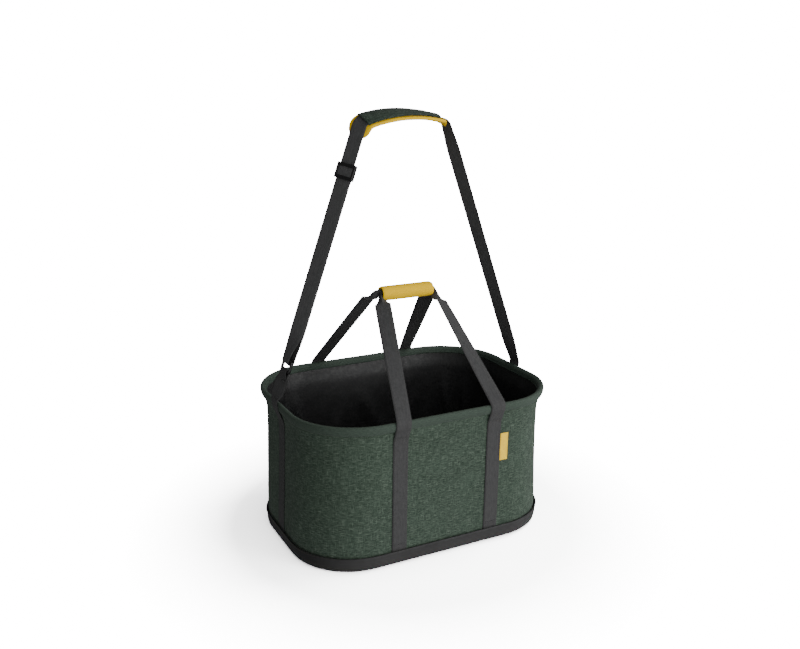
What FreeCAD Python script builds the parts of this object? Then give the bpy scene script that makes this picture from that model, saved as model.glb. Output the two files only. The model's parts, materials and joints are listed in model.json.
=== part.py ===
import FreeCAD, Part
import math
import os

import Sketcher

# An open carry basket: fabric walls on a moulded tray, a hooped rim, two webbing
# handles held together by a padded grip, and a padded shoulder strap.
# Frame: origin at the centre of the tray's underside, +X along the basket's
# length, +Y to its back, +Z up. Millimetres.

os.makedirs("parts", exist_ok=True)
doc = FreeCAD.newDocument("carry_basket")
V = FreeCAD.Vector

SIZES = {
    # moulded tray: half sizes and corner radius at the floor, the bilge and the lip
    "tray_floor_x": 270, "tray_floor_y": 181, "tray_floor_corner": 121,
    "tray_bilge_x": 276, "tray_bilge_y": 188.2, "tray_bilge_corner": 129, "tray_bilge_top": 7,
    "tray_lip_x": 279, "tray_lip_y": 193, "tray_lip_corner": 134, "tray_top": 33,
    "tray_wall": 2.5,
    "board_x": 262, "board_y": 173, "board_corner": 114, "board_thickness": 3,
    "lining_floor_thickness": 1.2, "lining_floor_margin": 0.3,
    # outside of the fabric wall at five heights
    "foot_height": 5.7, "foot_x": 271.5, "foot_y": 183.5, "foot_corner": 124,
    "hem_height": 33, "hem_x": 273.8, "hem_y": 187.8, "hem_corner": 128.3,
    "waist_height": 150, "waist_x": 268.5, "waist_y": 190.8, "waist_corner": 127.5,
    "neck_height": 258, "neck_x": 265.5, "neck_y": 195, "neck_corner": 126,
    "crown_height": 286, "crown_x": 271, "crown_y": 201.5, "crown_corner": 132,
    "shell_thickness": 1.2, "foam_thickness": 3.8, "lining_thickness": 1.0,
    "panel_seam": 0.6,
    # rim: a bent tube inside a padded fabric binding
    "rim_x": 265, "rim_y": 196, "rim_corner": 126, "rim_top": 304.2, "rim_out": 13.2,
    "hoop_out": 6.8, "hoop_height": 297, "hoop_radius": 4, "hoop_bore": 3, "hoop_gap": 2,
    "pin_length": 60, "channel_radius": 4.1, "binding_slit": 0.8,
    # webbing sewn to the walls
    "webbing_width": 32, "webbing_thickness": 1.6, "sewn_gap": 0.2,
    "strap_x": 103, "tack_length": 26, "tack_height": 2.2, "tack_thickness": 0.5,
    "label_x": 128.6, "label_width": 18, "label_height": 58, "label_thickness": 0.8,
    "label_bottom": 178,
    # carry handles and their grip
    "pivot_y": 212.2, "pivot_height": 305.2,
    "grip_x": 1.5, "grip_y": -15, "grip_height": 501, "grip_length": 115,
    "grip_radius": 16.5, "grip_bore": 10.5, "grip_seam": 0.2,
    "fold_thickness": 4, "fold_width": 15, "fold_offset": 3, "fold_overhang": 6,
    "leg_top_out": 4.6, "leg_top_side": 6.6, "leg_top_drop": 3.5, "leg_shoulder": 28,
    "close_overhang": 3, "back_right_shift": 13,
    "fastener_thickness": 1, "fastener_length": 98,
    # shoulder strap: tab, ring, slider and pad
    "tab_lean": 23, "tab_root_x": -281.3, "tab_root_height": 305.2, "tab_length": 66,
    "ring_bar": 3, "ring_half_width": 20, "ring_half_length": 10, "ring_corner": 5,
    "tab_clearance": 0.4, "loop_clearance": 2.6,
    "apex_x": 3, "apex_height": 851.5, "crest_radius": 300, "crest_half": 80, "turn_radius": 22,
    "right_root_x": 282, "right_root_height": 306.8,
    "twist_length": 75, "right_twist_length": 62,
    "slider_place": 381, "slider_width": 40.4, "slider_length": 31, "slider_bar": 6.5,
    "slider_rail": 3.6, "slider_thickness": 2.4, "slider_clearance": 0.5,
    "sewn_end_length": 22,
    "pad_width": 54, "pad_thickness": 10, "pad_left_tail": 24, "pad_right_tail": 5,
    "cover_width": 46, "cover_thickness": 2.5, "cover_setback": 1.5,
}

sheet = doc.addObject("Spreadsheet::Sheet", "sizes")
for row, (alias, value) in enumerate(SIZES.items(), start=1):
    sheet.set(f"A{row}", alias)
    sheet.set(f"B{row}", str(value))
    sheet.setAlias(f"B{row}", alias)
doc.recompute()


def size(alias):
    return float(sheet.get(alias))


def value_of(expression):
    return float(doc.getObject("sizes").evalExpression(expression))


subparts = []


def finish(piece, label):
    """Names a sub-part; its label becomes its file's name."""
    piece.Label = label
    subparts.append(piece)
    return piece


# ---------------------------------------------------------------- sketches

def new_body(label):
    return finish(doc.addObject("PartDesign::Body", label + "_body"), label)


def new_sketch(body, role, name, height=None):
    """A sketch on one of the body's origin planes, lifted by an expression."""
    plane = next(f for f in body.Origin.OriginFeatures if f.Role == role)
    sketch = body.newObject("Sketcher::SketchObject", f"{body.Name}_{name}")
    sketch.AttachmentSupport = (plane, [""])
    sketch.MapMode = "FlatFace"
    if height is not None:
        sketch.setExpression("AttachmentOffset.Base.z", height)
    return sketch


def bind(sketch, constraint, expression):
    sketch.setExpression(f"Constraints[{constraint}]", expression)


def draw_outline(sketch, half_x, half_y, corner):
    """A rounded rectangle about the origin; each size is an expression."""
    a, b, r = (value_of(e) for e in (half_x, half_y, corner))
    ends = [((a, r - b), (a, b - r)), ((a - r, b), (r - a, b)),
            ((-a, b - r), (-a, r - b)), ((r - a, -b), (a - r, -b))]
    centres = [(a - r, b - r), (r - a, b - r), (r - a, r - b), (a - r, r - b)]
    for i, ((x0, y0), (x1, y1)) in enumerate(ends):
        sketch.addGeometry(Part.LineSegment(V(x0, y0, 0), V(x1, y1, 0)))
        arc = Part.Circle(V(*centres[i], 0), V(0, 0, 1), r)
        turn = i * math.pi / 2
        sketch.addGeometry(Part.ArcOfCircle(arc, turn, turn + math.pi / 2))
    lines, arcs = [0, 2, 4, 6], [1, 3, 5, 7]
    for i in range(4):
        sketch.addConstraint(Sketcher.Constraint("Tangent", lines[i], 2, arcs[i], 1))
        sketch.addConstraint(Sketcher.Constraint("Tangent", arcs[i], 2, lines[(i + 1) % 4], 1))
    for line, kind in zip(lines, ("Vertical", "Horizontal", "Vertical", "Horizontal")):
        sketch.addConstraint(Sketcher.Constraint(kind, line))
    for arc in arcs[1:]:
        sketch.addConstraint(Sketcher.Constraint("Equal", arcs[0], arc))
    bind(sketch, sketch.addConstraint(Sketcher.Constraint("Radius", arcs[0], r)), corner)
    sides = (("DistanceX", (-1, 1, lines[0], 1), a, half_x),
             ("DistanceY", (-1, 1, lines[1], 1), b, half_y),
             ("DistanceX", (lines[2], 1, -1, 1), a, half_x),
             ("DistanceY", (lines[3], 1, -1, 1), b, half_y))
    for kind, points, value, expression in sides:
        index = sketch.addConstraint(Sketcher.Constraint(kind, *points, value))
        bind(sketch, index, expression)


def draw_polygon(sketch, points):
    """A closed polygon; each vertex is a pair of expressions."""
    corners = [V(value_of(x), value_of(y), 0) for x, y in points]
    count = len(corners)
    for i in range(count):
        sketch.addGeometry(Part.LineSegment(corners[i], corners[(i + 1) % count]))
    for i in range(count):
        sketch.addConstraint(Sketcher.Constraint("Coincident", i, 2, (i + 1) % count, 1))
    for i, (x, y) in enumerate(points):
        for kind, value, expression in (("DistanceX", corners[i].x, x),
                                        ("DistanceY", corners[i].y, y)):
            index = sketch.addConstraint(Sketcher.Constraint(kind, -1, 1, i, 1, value))
            bind(sketch, index, expression)


def draw_circle(sketch, x, y, radius):
    sketch.addGeometry(Part.Circle(V(value_of(x), value_of(y), 0), V(0, 0, 1), value_of(radius)))
    for kind, where, expression in (("DistanceX", (-1, 1, 0, 3), x), ("DistanceY", (-1, 1, 0, 3), y),
                                    ("Radius", (0,), radius)):
        index = sketch.addConstraint(Sketcher.Constraint(kind, *where, value_of(expression)))
        bind(sketch, index, expression)


# ---------------------------------------------------------------- tray, board and walls

LEVELS = ("foot", "hem", "waist", "neck", "crown")


def loft(body, kind, name, sections):
    """A ruled loft through rounded rectangles: (height, half x, half y, corner)."""
    sketches = []
    for i, (height, half_x, half_y, corner) in enumerate(sections):
        sketch = new_sketch(body, "XY_Plane", f"{name}{i}", height)
        draw_outline(sketch, half_x, half_y, corner)
        sketches.append(sketch)
    feature = body.newObject(f"PartDesign::{kind}Loft", f"{body.Name}_{name}")
    feature.Profile = sketches[0]
    feature.Sections = sketches[1:]
    feature.Ruled = True
    return feature


def tray_section(level, inset, height):
    return (height, f"sizes.tray_{level}_x - {inset}", f"sizes.tray_{level}_y - {inset}",
            f"sizes.tray_{level}_corner - {inset}")


def wall_sections(inset):
    return [(f"sizes.{level}_height", f"sizes.{level}_x - ({inset})",
             f"sizes.{level}_y - ({inset})", f"sizes.{level}_corner - ({inset})")
            for level in LEVELS]


def wall_ring(body, outer, inner):
    """One layer of the wall, between two insets from its outside."""
    loft(body, "Additive", "outside", wall_sections(outer))
    loft(body, "Subtractive", "inside", wall_sections(inner))
    return body


tray = new_body("base_tray")
loft(tray, "Additive", "outside", [
    tray_section("floor", "0", "0"),
    tray_section("bilge", "0", "sizes.tray_bilge_top"),
    tray_section("lip", "0", "sizes.tray_top")])
loft(tray, "Subtractive", "inside", [
    tray_section("floor", "sizes.tray_wall", "sizes.tray_wall"),
    tray_section("bilge", "sizes.tray_wall", "sizes.tray_bilge_top"),
    tray_section("lip", "sizes.tray_wall", "sizes.tray_top")])


def plate(label, height, thickness, outline):
    body = new_body(label)
    draw_outline(new_sketch(body, "XY_Plane", "outline", height), *outline)
    pad = body.newObject("PartDesign::Pad", body.Name + "_pad")
    pad.Profile = body.Group[0]
    pad.setExpression("Length", thickness)
    return body


BOARD_TOP = "sizes.tray_wall + sizes.board_thickness"
WALL = "sizes.shell_thickness + sizes.foam_thickness + sizes.lining_thickness"
plate("base_board", "sizes.tray_wall", "sizes.board_thickness",
      ("sizes.board_x", "sizes.board_y", "sizes.board_corner"))
plate("lining_floor", "sizes.foot_height", "sizes.lining_floor_thickness",
      tuple(f"sizes.foot_{part} - ({WALL}) - sizes.lining_floor_margin"
            for part in ("x", "y", "corner")))

shell = wall_ring(doc.addObject("PartDesign::Body", "shell_ring"), "0", "sizes.shell_thickness")
for label, side in (("shell_front", -1), ("shell_back", 1)):
    half = doc.addObject("Part::Box", label + "_half")
    half.setExpression("Length", "2 * sizes.rim_x + 100")
    half.setExpression("Width", "sizes.rim_y + 50")
    half.setExpression("Height", "sizes.rim_top")
    half.setExpression("Placement.Base.x", "-sizes.rim_x - 50")
    start = "sizes.panel_seam / 2" if side > 0 else "-sizes.rim_y - 50 - sizes.panel_seam / 2"
    half.setExpression("Placement.Base.y", start)
    panel = doc.addObject("Part::MultiCommon", label + "_panel")
    panel.Shapes = [shell, half]
    finish(panel, label)
wall_ring(new_body("wall_foam"), "sizes.shell_thickness",
          "sizes.shell_thickness + sizes.foam_thickness")
wall_ring(new_body("lining_wall"), "sizes.shell_thickness + sizes.foam_thickness", WALL)

# ---------------------------------------------------------------- rim


def ring_pipe(body, kind, name, spine, draw):
    """Carries a profile, drawn at the rim's right end, round a spine."""
    profile = new_sketch(body, "XZ_Plane", name + "_profile")
    draw(profile)
    feature = body.newObject(f"PartDesign::{kind}Pipe", f"{body.Name}_{name}")
    feature.Profile = profile
    feature.Spine = (spine, [])
    return feature


def rim_spine(body):
    spine = new_sketch(body, "XY_Plane", "spine", "sizes.hoop_height")
    draw_outline(spine, "sizes.rim_x + sizes.hoop_out", "sizes.rim_y + sizes.hoop_out",
                 "sizes.rim_corner + sizes.hoop_out")
    return spine


def hoop_circle(radius):
    return lambda sketch: draw_circle(sketch, "sizes.rim_x + sizes.hoop_out",
                                      "sizes.hoop_height", radius)


hoop = doc.addObject("PartDesign::Body", "hoop_ring")
spine = rim_spine(hoop)
ring_pipe(hoop, "Additive", "tube", spine, hoop_circle("sizes.hoop_radius"))
ring_pipe(hoop, "Subtractive", "bore", spine, hoop_circle("sizes.hoop_bore"))
gap = doc.addObject("Part::Box", "hoop_gap_box")
gap.setExpression("Length", "sizes.hoop_gap")
gap.setExpression("Width", "4 * sizes.hoop_radius")
gap.setExpression("Height", "4 * sizes.hoop_radius")
gap.setExpression("Placement.Base.x", "-sizes.hoop_gap / 2")
gap.setExpression("Placement.Base.y", "sizes.rim_y + sizes.hoop_out - 2 * sizes.hoop_radius")
gap.setExpression("Placement.Base.z", "sizes.hoop_height - 2 * sizes.hoop_radius")
open_hoop = doc.addObject("Part::Cut", "open_hoop")
open_hoop.Base = hoop
open_hoop.Tool = gap
finish(open_hoop, "rim_hoop")

pin = doc.addObject("Part::Cylinder", "pin")
pin.setExpression("Radius", "sizes.hoop_bore - 0.05")
pin.setExpression("Height", "sizes.pin_length")
pin.Placement.Rotation = FreeCAD.Rotation(V(0, 1, 0), 90)
pin.setExpression("Placement.Base.x", "-sizes.pin_length / 2")
pin.setExpression("Placement.Base.y", "sizes.rim_y + sizes.hoop_out")
pin.setExpression("Placement.Base.z", "sizes.hoop_height")
finish(pin, "hoop_joint_pin")

BINDING = [("-1.2", "sizes.crown_height"), ("0.6", "297"), ("4.5", "302.8"),
           ("8.5", "sizes.rim_top"), ("12", "302.5"), ("13", "298.5"), ("11.5", "290"),
           ("8.2", "sizes.crown_height")]
binding = new_body("rim_binding")
spine = rim_spine(binding)
ring_pipe(binding, "Additive", "roll", spine, lambda sketch: draw_polygon(
    sketch, [(f"sizes.rim_x + {out}", height) for out, height in BINDING]))
ring_pipe(binding, "Subtractive", "channel", spine, hoop_circle("sizes.channel_radius"))
SLIT = "sizes.rim_x + sizes.hoop_out"
ring_pipe(binding, "Subtractive", "slit", spine, lambda sketch: draw_polygon(sketch, [
    (f"{SLIT} - sizes.binding_slit / 2", "sizes.crown_height - 1"),
    (f"{SLIT} + sizes.binding_slit / 2", "sizes.crown_height - 1"),
    (f"{SLIT} + sizes.binding_slit / 2", "sizes.hoop_height - sizes.hoop_radius + 0.5"),
    (f"{SLIT} - sizes.binding_slit / 2", "sizes.hoop_height - sizes.hoop_radius + 0.5")]))

# ---------------------------------------------------------------- webbing on the walls


TUCK_OUT, TUCK_DEPTH = 0.6, 6.0
BAND_LOW_OUT, BAND_MID_OUT = 8.2, 11.6
BAND_TOP_LOW, BAND_TOP_HIGH = 298.5, 303.6


def strap_path(axis):
    """The strap's inner face from under the tray's lip to the rim: (out, height)."""
    return [(f"sizes.hem_{axis} + sizes.sewn_gap - {TUCK_OUT}", f"sizes.tray_top - {TUCK_DEPTH}"),
            (f"sizes.hem_{axis} + sizes.sewn_gap", "sizes.hem_height"),
            (f"sizes.waist_{axis} + sizes.sewn_gap", "sizes.waist_height"),
            (f"sizes.neck_{axis} + sizes.sewn_gap", "sizes.neck_height"),
            (f"sizes.rim_{axis} + {BAND_LOW_OUT} + sizes.sewn_gap", "sizes.crown_height - 0.5"),
            (f"sizes.rim_{axis} + {BAND_MID_OUT} + sizes.sewn_gap", "sizes.crown_height + 4"),
            (f"sizes.rim_{axis} + sizes.rim_out", str(BAND_TOP_LOW)),
            (f"sizes.rim_{axis} + sizes.rim_out", str(BAND_TOP_HIGH))]


def wall_strap(label, axis, side, across):
    """A strap up one wall; side is its sign, across its place along the wall."""
    body = new_body(label)
    sketch = new_sketch(body, "YZ_Plane" if axis == "y" else "XZ_Plane", "profile")
    path = strap_path(axis)
    outline = [(f"{side} * ({out})", height) for out, height in path]
    outline += [(f"{side} * ({out} + sizes.webbing_thickness)", height)
                for out, height in reversed(path)]
    draw_polygon(sketch, outline)
    pad = body.newObject("PartDesign::Pad", body.Name + "_pad")
    pad.Profile = sketch
    pad.Midplane = True
    pad.setExpression("Length", "sizes.webbing_width")
    body.setExpression("Placement.Base." + ("x" if axis == "y" else "y"), across)


STRAP_PLACES = {("front", "left"): "-sizes.strap_x", ("front", "right"): "sizes.strap_x",
                ("back", "left"): "-sizes.strap_x",
                ("back", "right"): "sizes.strap_x + sizes.back_right_shift"}
SIDES = {"front": -1, "back": 1}
for (face, hand), place in STRAP_PLACES.items():
    wall_strap(f"{face}_wall_strap_{hand}", "y", SIDES[face], place)
wall_strap("left_end_strap", "x", -1, "0")
wall_strap("right_end_strap", "x", 1, "0")


def lean(level_low, level_high, axis):
    """How far the wall leans between two levels, in degrees from upright."""
    run = size(f"{level_high}_{axis}") - size(f"{level_low}_{axis}")
    return math.degrees(math.atan2(run, size(f"{level_high}_height") - size(f"{level_low}_height")))


def wall_out(height, axis):
    """The wall's outside at a height."""
    for low, high in zip(LEVELS, LEVELS[1:]):
        z0, z1 = size(f"{low}_height"), size(f"{high}_height")
        if z0 <= height <= z1:
            share = (height - z0) / (z1 - z0)
            return size(f"{low}_{axis}") + share * (size(f"{high}_{axis}") - size(f"{low}_{axis}"))


label_piece = doc.addObject("Part::Box", "label_box")
for prop, expression in (("Length", "sizes.label_width"), ("Width", "sizes.label_thickness"),
                         ("Height", "sizes.label_height")):
    label_piece.setExpression(prop, expression)
label_face = -wall_out(size("label_bottom"), "y") - size("label_thickness") - size("sewn_gap")
label_piece.Placement = FreeCAD.Placement(
    V(size("label_x") - size("label_width") / 2, label_face, size("label_bottom")),
    FreeCAD.Rotation(V(1, 0, 0), lean("waist", "neck", "y")))
finish(label_piece, "side_label")


def strap_out(height, axis):
    """The outer face of a wall strap at a height."""
    path = [(value_of(out), value_of(z)) for out, z in strap_path(axis)]
    for (y0, z0), (y1, z1) in zip(path, path[1:]):
        if z0 <= height <= z1:
            return y0 + (y1 - y0) * (height - z0) / (z1 - z0) + size("webbing_thickness")


tacks = []
TACK_HEIGHTS = (45, 270)
for height in TACK_HEIGHTS:
    out = strap_out(height + size("tack_height"), "y") + size("sewn_gap") / 2
    for (face, hand), place in STRAP_PLACES.items():
        tack = doc.addObject("Part::Box", "tack")
        tack.setExpression("Length", "sizes.tack_length")
        tack.setExpression("Width", "sizes.tack_thickness")
        tack.setExpression("Height", "sizes.tack_height")
        near = out if face == "back" else -out - size("tack_thickness")
        tack.Placement.Base = V(value_of(place) - size("tack_length") / 2, near, height)
        tacks.append(tack)
tack_group = doc.addObject("Part::Compound", "tack_group")
tack_group.Links = tacks
finish(tack_group, "strap_bar_tacks")

# ---------------------------------------------------------------- free webbing


class Station:
    """A cross-section of a strap: its middle, its width's direction and its outer side."""

    def __init__(self, middle, along, across):
        self.middle = middle
        along = V(along).normalize()
        self.across = V(across - along * across.dot(along)).normalize()
        self.outward = self.across.cross(along)

    def moved(self, out):
        copy = Station.__new__(Station)
        copy.middle = self.middle + self.outward * out
        copy.across, copy.outward = self.across, self.outward
        return copy

    def rectangle(self, width, thickness):
        w, n = self.across * (width / 2), self.outward * (thickness / 2)
        corners = [self.middle + w + n, self.middle - w + n, self.middle - w - n,
                   self.middle + w - n]
        return Part.makePolygon(corners + corners[:1])


def band(label, stations, widths, thicknesses):
    """A flat band through stations, one width and one thickness at each."""
    wires = [s.rectangle(w, t) for s, w, t in zip(stations, widths, thicknesses)]
    piece = doc.addObject("Part::Feature", label + "_band")
    piece.Shape = Part.makeLoft(wires, True, True)
    piece.Placement = FreeCAD.Placement()
    return finish(piece, label)


def even_band(label, stations, width, thickness):
    return band(label, stations, [width] * len(stations), [thickness] * len(stations))


width, thickness = size("webbing_width"), size("webbing_thickness")
fold_width, fold_thickness = size("fold_width"), size("fold_thickness")
grip = V(size("grip_x"), size("grip_y"), size("grip_height"))
grip_end = size("grip_length") / 2
LEG_TOP_SHARE = 0.8

# Each handle's two legs narrow into a lengthwise fold that runs through the grip. The back
# one ends closer to the grip on the right.
RIGHT_OVERHANG = {"front": "fold_overhang", "back": "close_overhang"}
for face, side in SIDES.items():
    fold = doc.addObject("Part::Box", face + "_fold")
    fold.setExpression("Length", "sizes.grip_length + sizes.fold_overhang"
                                 f" + sizes.{RIGHT_OVERHANG[face]}")
    fold.setExpression("Width", "sizes.fold_thickness")
    fold.setExpression("Height", "sizes.fold_width")
    fold.setExpression("Placement.Base.x",
                       "sizes.grip_x - sizes.grip_length / 2 - sizes.fold_overhang")
    fold.setExpression("Placement.Base.y",
                       f"sizes.grip_y + {side} * sizes.fold_offset - sizes.fold_thickness / 2")
    fold.setExpression("Placement.Base.z", "sizes.grip_height - sizes.fold_width / 2")
    finish(fold, face + "_handle_fold")
    for hand, way in (("left", -1), ("right", 1)):
        place = value_of(STRAP_PLACES[face, hand])
        root = V(place, side * size("pivot_y"), size("pivot_height"))
        overhang = size("fold_overhang" if way < 0 else RIGHT_OVERHANG[face])
        end_x = grip.x + way * (grip_end + overhang)
        top = V(end_x + way * size("leg_top_out"), grip.y + side * size("leg_top_side"),
                grip.z - size("leg_top_drop"))
        shoulder = top + (root - top).normalize() * size("leg_shoulder")
        along = shoulder - root
        flat = V(1, 0, 0)
        middle = (root + shoulder) * 0.5
        stations = [Station(root, V(0, along.y, along.z), flat), Station(middle, along, flat),
                    Station(shoulder, along, flat), Station(top, along, V(0.25, -side, 0.6))]
        band(f"{face}_handle_leg_{hand}", stations,
             [width, width, width, LEG_TOP_SHARE * fold_width],
             [thickness, thickness, thickness, fold_thickness])


def half_sleeve(label, side, radii, length="sizes.grip_length", start=0.0, sweep=180.0):
    """Part of a sleeve round the grip's axis, from its top round one side."""
    solids = []
    for radius in radii:
        solid = doc.addObject("Part::Cylinder", label + "_round")
        solid.setExpression("Radius", radius)
        solid.setExpression("Height", length)
        solid.Angle = sweep
        solids.append(solid)
    sleeve = doc.addObject("Part::Cut", label + "_sleeve")
    sleeve.Base, sleeve.Tool = solids
    top_first = FreeCAD.Rotation(V(0, 0, 1), V(0, -1, 0), V(1, 0, 0), "XYZ")
    spin = FreeCAD.Rotation(V(0, 0, 1), start if side < 0 else -start - sweep)
    sleeve.Placement.Rotation = top_first * spin
    sleeve.setExpression("Placement.Base.x", f"sizes.grip_x - ({length}) / 2")
    sleeve.setExpression("Placement.Base.y", f"sizes.grip_y + {side} * sizes.grip_seam")
    sleeve.setExpression("Placement.Base.z", "sizes.grip_height")
    return finish(sleeve, label)


GRIP_RADII = ("sizes.grip_radius", "sizes.grip_bore")
FASTENER_RADII = ("sizes.grip_bore", "sizes.grip_bore - sizes.fastener_thickness")
FASTENER_START, FASTENER_SWEEP = 120.0, 55.0
half_sleeve("grip_wrap", 1, GRIP_RADII)
half_sleeve("grip_flap", -1, GRIP_RADII)
for label, side in (("fastener_loop_strip", 1), ("fastener_hook_strip", -1)):
    half_sleeve(label, side, FASTENER_RADII, "sizes.fastener_length", FASTENER_START,
                FASTENER_SWEEP)

# ---------------------------------------------------------------- shoulder strap

BACKWARD = V(0, 1, 0)


def leaning(angle):
    """A unit vector in the strap's plane, leaning from upright towards +X."""
    return V(math.sin(math.radians(angle)), 0, math.cos(math.radians(angle)))


tab_root = V(size("tab_root_x"), 0, size("tab_root_height"))
tab_way = leaning(size("tab_lean"))
lower_bar = tab_root + tab_way * size("tab_length")
RING_LEAN = size("tab_lean") - 2
ring_way = leaning(RING_LEAN)
upper_bar = lower_bar + ring_way * (2 * size("ring_half_length"))
right_root = V(size("right_root_x"), 0, size("right_root_height"))

crest_middle = V(size("apex_x"), 0, size("apex_height") - size("crest_radius"))
crest_angle = math.degrees(math.asin(size("crest_half") / size("crest_radius")))


def turn(side, root):
    """The tight turn at one end of the crest: its centre and the angle where the leg leaves."""
    out = leaning(side * crest_angle)
    centre = crest_middle + out * (size("crest_radius") - size("turn_radius"))
    reach = root - centre
    base = math.degrees(math.atan2(side * reach.x, reach.z))
    return centre, base - math.degrees(math.acos(size("turn_radius") / reach.Length))


def rolled(middle, along, roll):
    """A station whose width is turned about the strap from straight across the basket."""
    along = V(along).normalize()
    roll = math.radians(roll)
    sideways = along.cross(-BACKWARD)
    return Station(middle, along, -BACKWARD * math.cos(roll) + sideways * math.sin(roll))


def on_arc(centre, radius, angle, roll):
    out = leaning(angle)
    return rolled(centre + out * radius, BACKWARD.cross(out), roll)


def between(a, b, share):
    return a + (b - a) * share


LEG_ROLL, LEFT_CREST_ROLL, RIGHT_CREST_ROLL, RIGHT_TOP_ROLL = 36, 30, 5, -8
RIGHT_LEG_ROLL, RIGHT_FOOT_ROLL = -24, -6
TURN_STEPS, CREST_STEPS, TWIST_STEPS = 4, 8, 4
left_centre, left_leave = turn(-1, upper_bar)
right_centre, right_leave = turn(1, right_root)
turn_radius, crest_radius = size("turn_radius"), size("crest_radius")


def turn_stations(side, centre, leave, outer_roll, crest_roll):
    """Stations round a turn, from the leg's end to the crest's end."""
    return [on_arc(centre, turn_radius, side * between(leave, crest_angle, i / TURN_STEPS),
                   between(outer_roll, crest_roll, i / TURN_STEPS))
            for i in range(TURN_STEPS + 1)]


left_turn = turn_stations(-1, left_centre, left_leave, LEG_ROLL, LEFT_CREST_ROLL)
right_turn = turn_stations(1, right_centre, right_leave, RIGHT_TOP_ROLL, RIGHT_CREST_ROLL)[::-1]
crest = [on_arc(crest_middle, crest_radius, between(-crest_angle, crest_angle, i / CREST_STEPS),
                between(LEFT_CREST_ROLL, RIGHT_CREST_ROLL, i / CREST_STEPS))
         for i in range(CREST_STEPS + 1)]

left_top, right_top = left_turn[0].middle, right_turn[-1].middle
left_way = (left_top - upper_bar).normalize()
right_way = (right_root - right_top).normalize()
twist, right_twist = size("twist_length"), size("right_twist_length")
bar_reach = size("ring_bar") + size("loop_clearance") + thickness / 2
RETURN_DEPTH = 4.3
END_GAP = 0.2


def left_station(distance, roll, out=0.0):
    return rolled(upper_bar + left_way * distance, left_way, roll).moved(out)


def right_station(distance, roll):
    return rolled(right_root - right_way * distance, right_way, roll)


def twist_layer(side, depth):
    """One layer of the doubled strap, from the ring to where it stops twisting."""
    shares = [i / TWIST_STEPS for i in range(TWIST_STEPS + 1)]
    return [left_station(END_GAP + (twist - END_GAP) * s, LEG_ROLL * s,
                         side * between(bar_reach, depth, s)) for s in shares]


slider_place = size("slider_place")
sewn_end = size("sewn_end_length")
even_band("strap_left_twist", twist_layer(1, 0), width, thickness)
even_band("strap_left_run", [left_station(twist, LEG_ROLL), left_turn[0]], width, thickness)
even_band("strap_crest", left_turn + crest[1:] + right_turn[1:], width, thickness)
right_reach = (right_root - right_top).Length
SETTLE = 60
even_band("strap_right_run", [right_turn[-1], right_station(right_reach - SETTLE, RIGHT_LEG_ROLL),
                              right_station(right_twist, RIGHT_LEG_ROLL)], width, thickness)
even_band("strap_right_twist",
          [right_station(right_twist * s, between(RIGHT_FOOT_ROLL, RIGHT_LEG_ROLL, s))
           for s in (1, 0.75, 0.5, 0.25, 0)], width, thickness)
even_band("strap_return_layer", twist_layer(-1, RETURN_DEPTH)
          + [left_station(slider_place - sewn_end - END_GAP, LEG_ROLL, -RETURN_DEPTH)],
          width, thickness)


def cylinder(label, radius, length, angle=360):
    """A cylinder centred on the origin along +Y, its half turn on the -Z side."""
    solid = doc.addObject("Part::Cylinder", label)
    solid.setExpression("Radius", radius)
    solid.setExpression("Height", length)
    solid.Angle = angle
    solid.Placement = FreeCAD.Placement(V(0, -value_of(length) / 2, 0),
                                        FreeCAD.Rotation(V(1, 0, 0), -90))
    return solid


def sized_box(label, expressions, corner):
    box = doc.addObject("Part::Box", label)
    for prop, expression in zip(("Length", "Width", "Height"), expressions):
        box.setExpression(prop, expression)
    for name, expression in zip("xyz", corner):
        box.setExpression("Placement.Base." + name, expression)
    return box


def cut(label, base, tool):
    piece = doc.addObject("Part::Cut", label)
    piece.Base, piece.Tool = base, tool
    return piece


def fuse(label, shapes):
    piece = doc.addObject("Part::MultiFuse", label)
    piece.Shapes = shapes
    return piece


def aimed(way, outward):
    """The rotation that turns +Z to way and +X to outward, with +Y across."""
    return FreeCAD.Rotation(outward, way.cross(outward), way, "ZXY")


HALF_WIDTH = "-sizes.webbing_width / 2"


def sewn_loop(label, bore, length, way, outward, place):
    """Doubled webbing that ends in a loop round a bar at place; it lies back along way."""
    outside = f"({bore}) + sizes.webbing_thickness"
    strip = sized_box(label + "_strip", ("2 * sizes.webbing_thickness", "sizes.webbing_width",
                                         length),
                      ("-sizes.webbing_thickness", HALF_WIDTH, f"-({length})"))
    solid = fuse(label + "_solid", [strip, cylinder(label + "_out", outside,
                                                    "sizes.webbing_width")])
    piece = cut(label + "_loop", solid, cylinder(label + "_bore", bore, "sizes.webbing_width"))
    piece.Placement = FreeCAD.Placement(place, aimed(way, outward))
    return finish(piece, label)


sewn_loop("ring_tab", "sizes.ring_bar + sizes.tab_clearance", "sizes.tab_length", tab_way,
          tab_way.cross(BACKWARD), lower_bar)

loop_bore = "sizes.ring_bar + sizes.loop_clearance"
strap_loop = cut("strap_loop", cylinder("loop_out", loop_bore + " + sizes.webbing_thickness",
                                        "sizes.webbing_width", 180),
                 cylinder("loop_bore", loop_bore, "sizes.webbing_width", 180))
foot = left_station(0, 0)
strap_loop.Placement = FreeCAD.Placement(upper_bar, aimed(left_way, foot.outward))
finish(strap_loop, "strap_ring_loop")

ring = new_body("strap_ring")
spine = new_sketch(ring, "XY_Plane", "spine")
draw_outline(spine, "sizes.ring_half_width", "sizes.ring_half_length", "sizes.ring_corner")
ring_pipe(ring, "Additive", "bar", spine,
          lambda sketch: draw_circle(sketch, "sizes.ring_half_width", "0", "sizes.ring_bar"))
ring.Placement = FreeCAD.Placement(
    lower_bar + ring_way * size("ring_half_length"),
    FreeCAD.Rotation(BACKWARD, ring_way, BACKWARD.cross(ring_way), "XYZ"))

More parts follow.
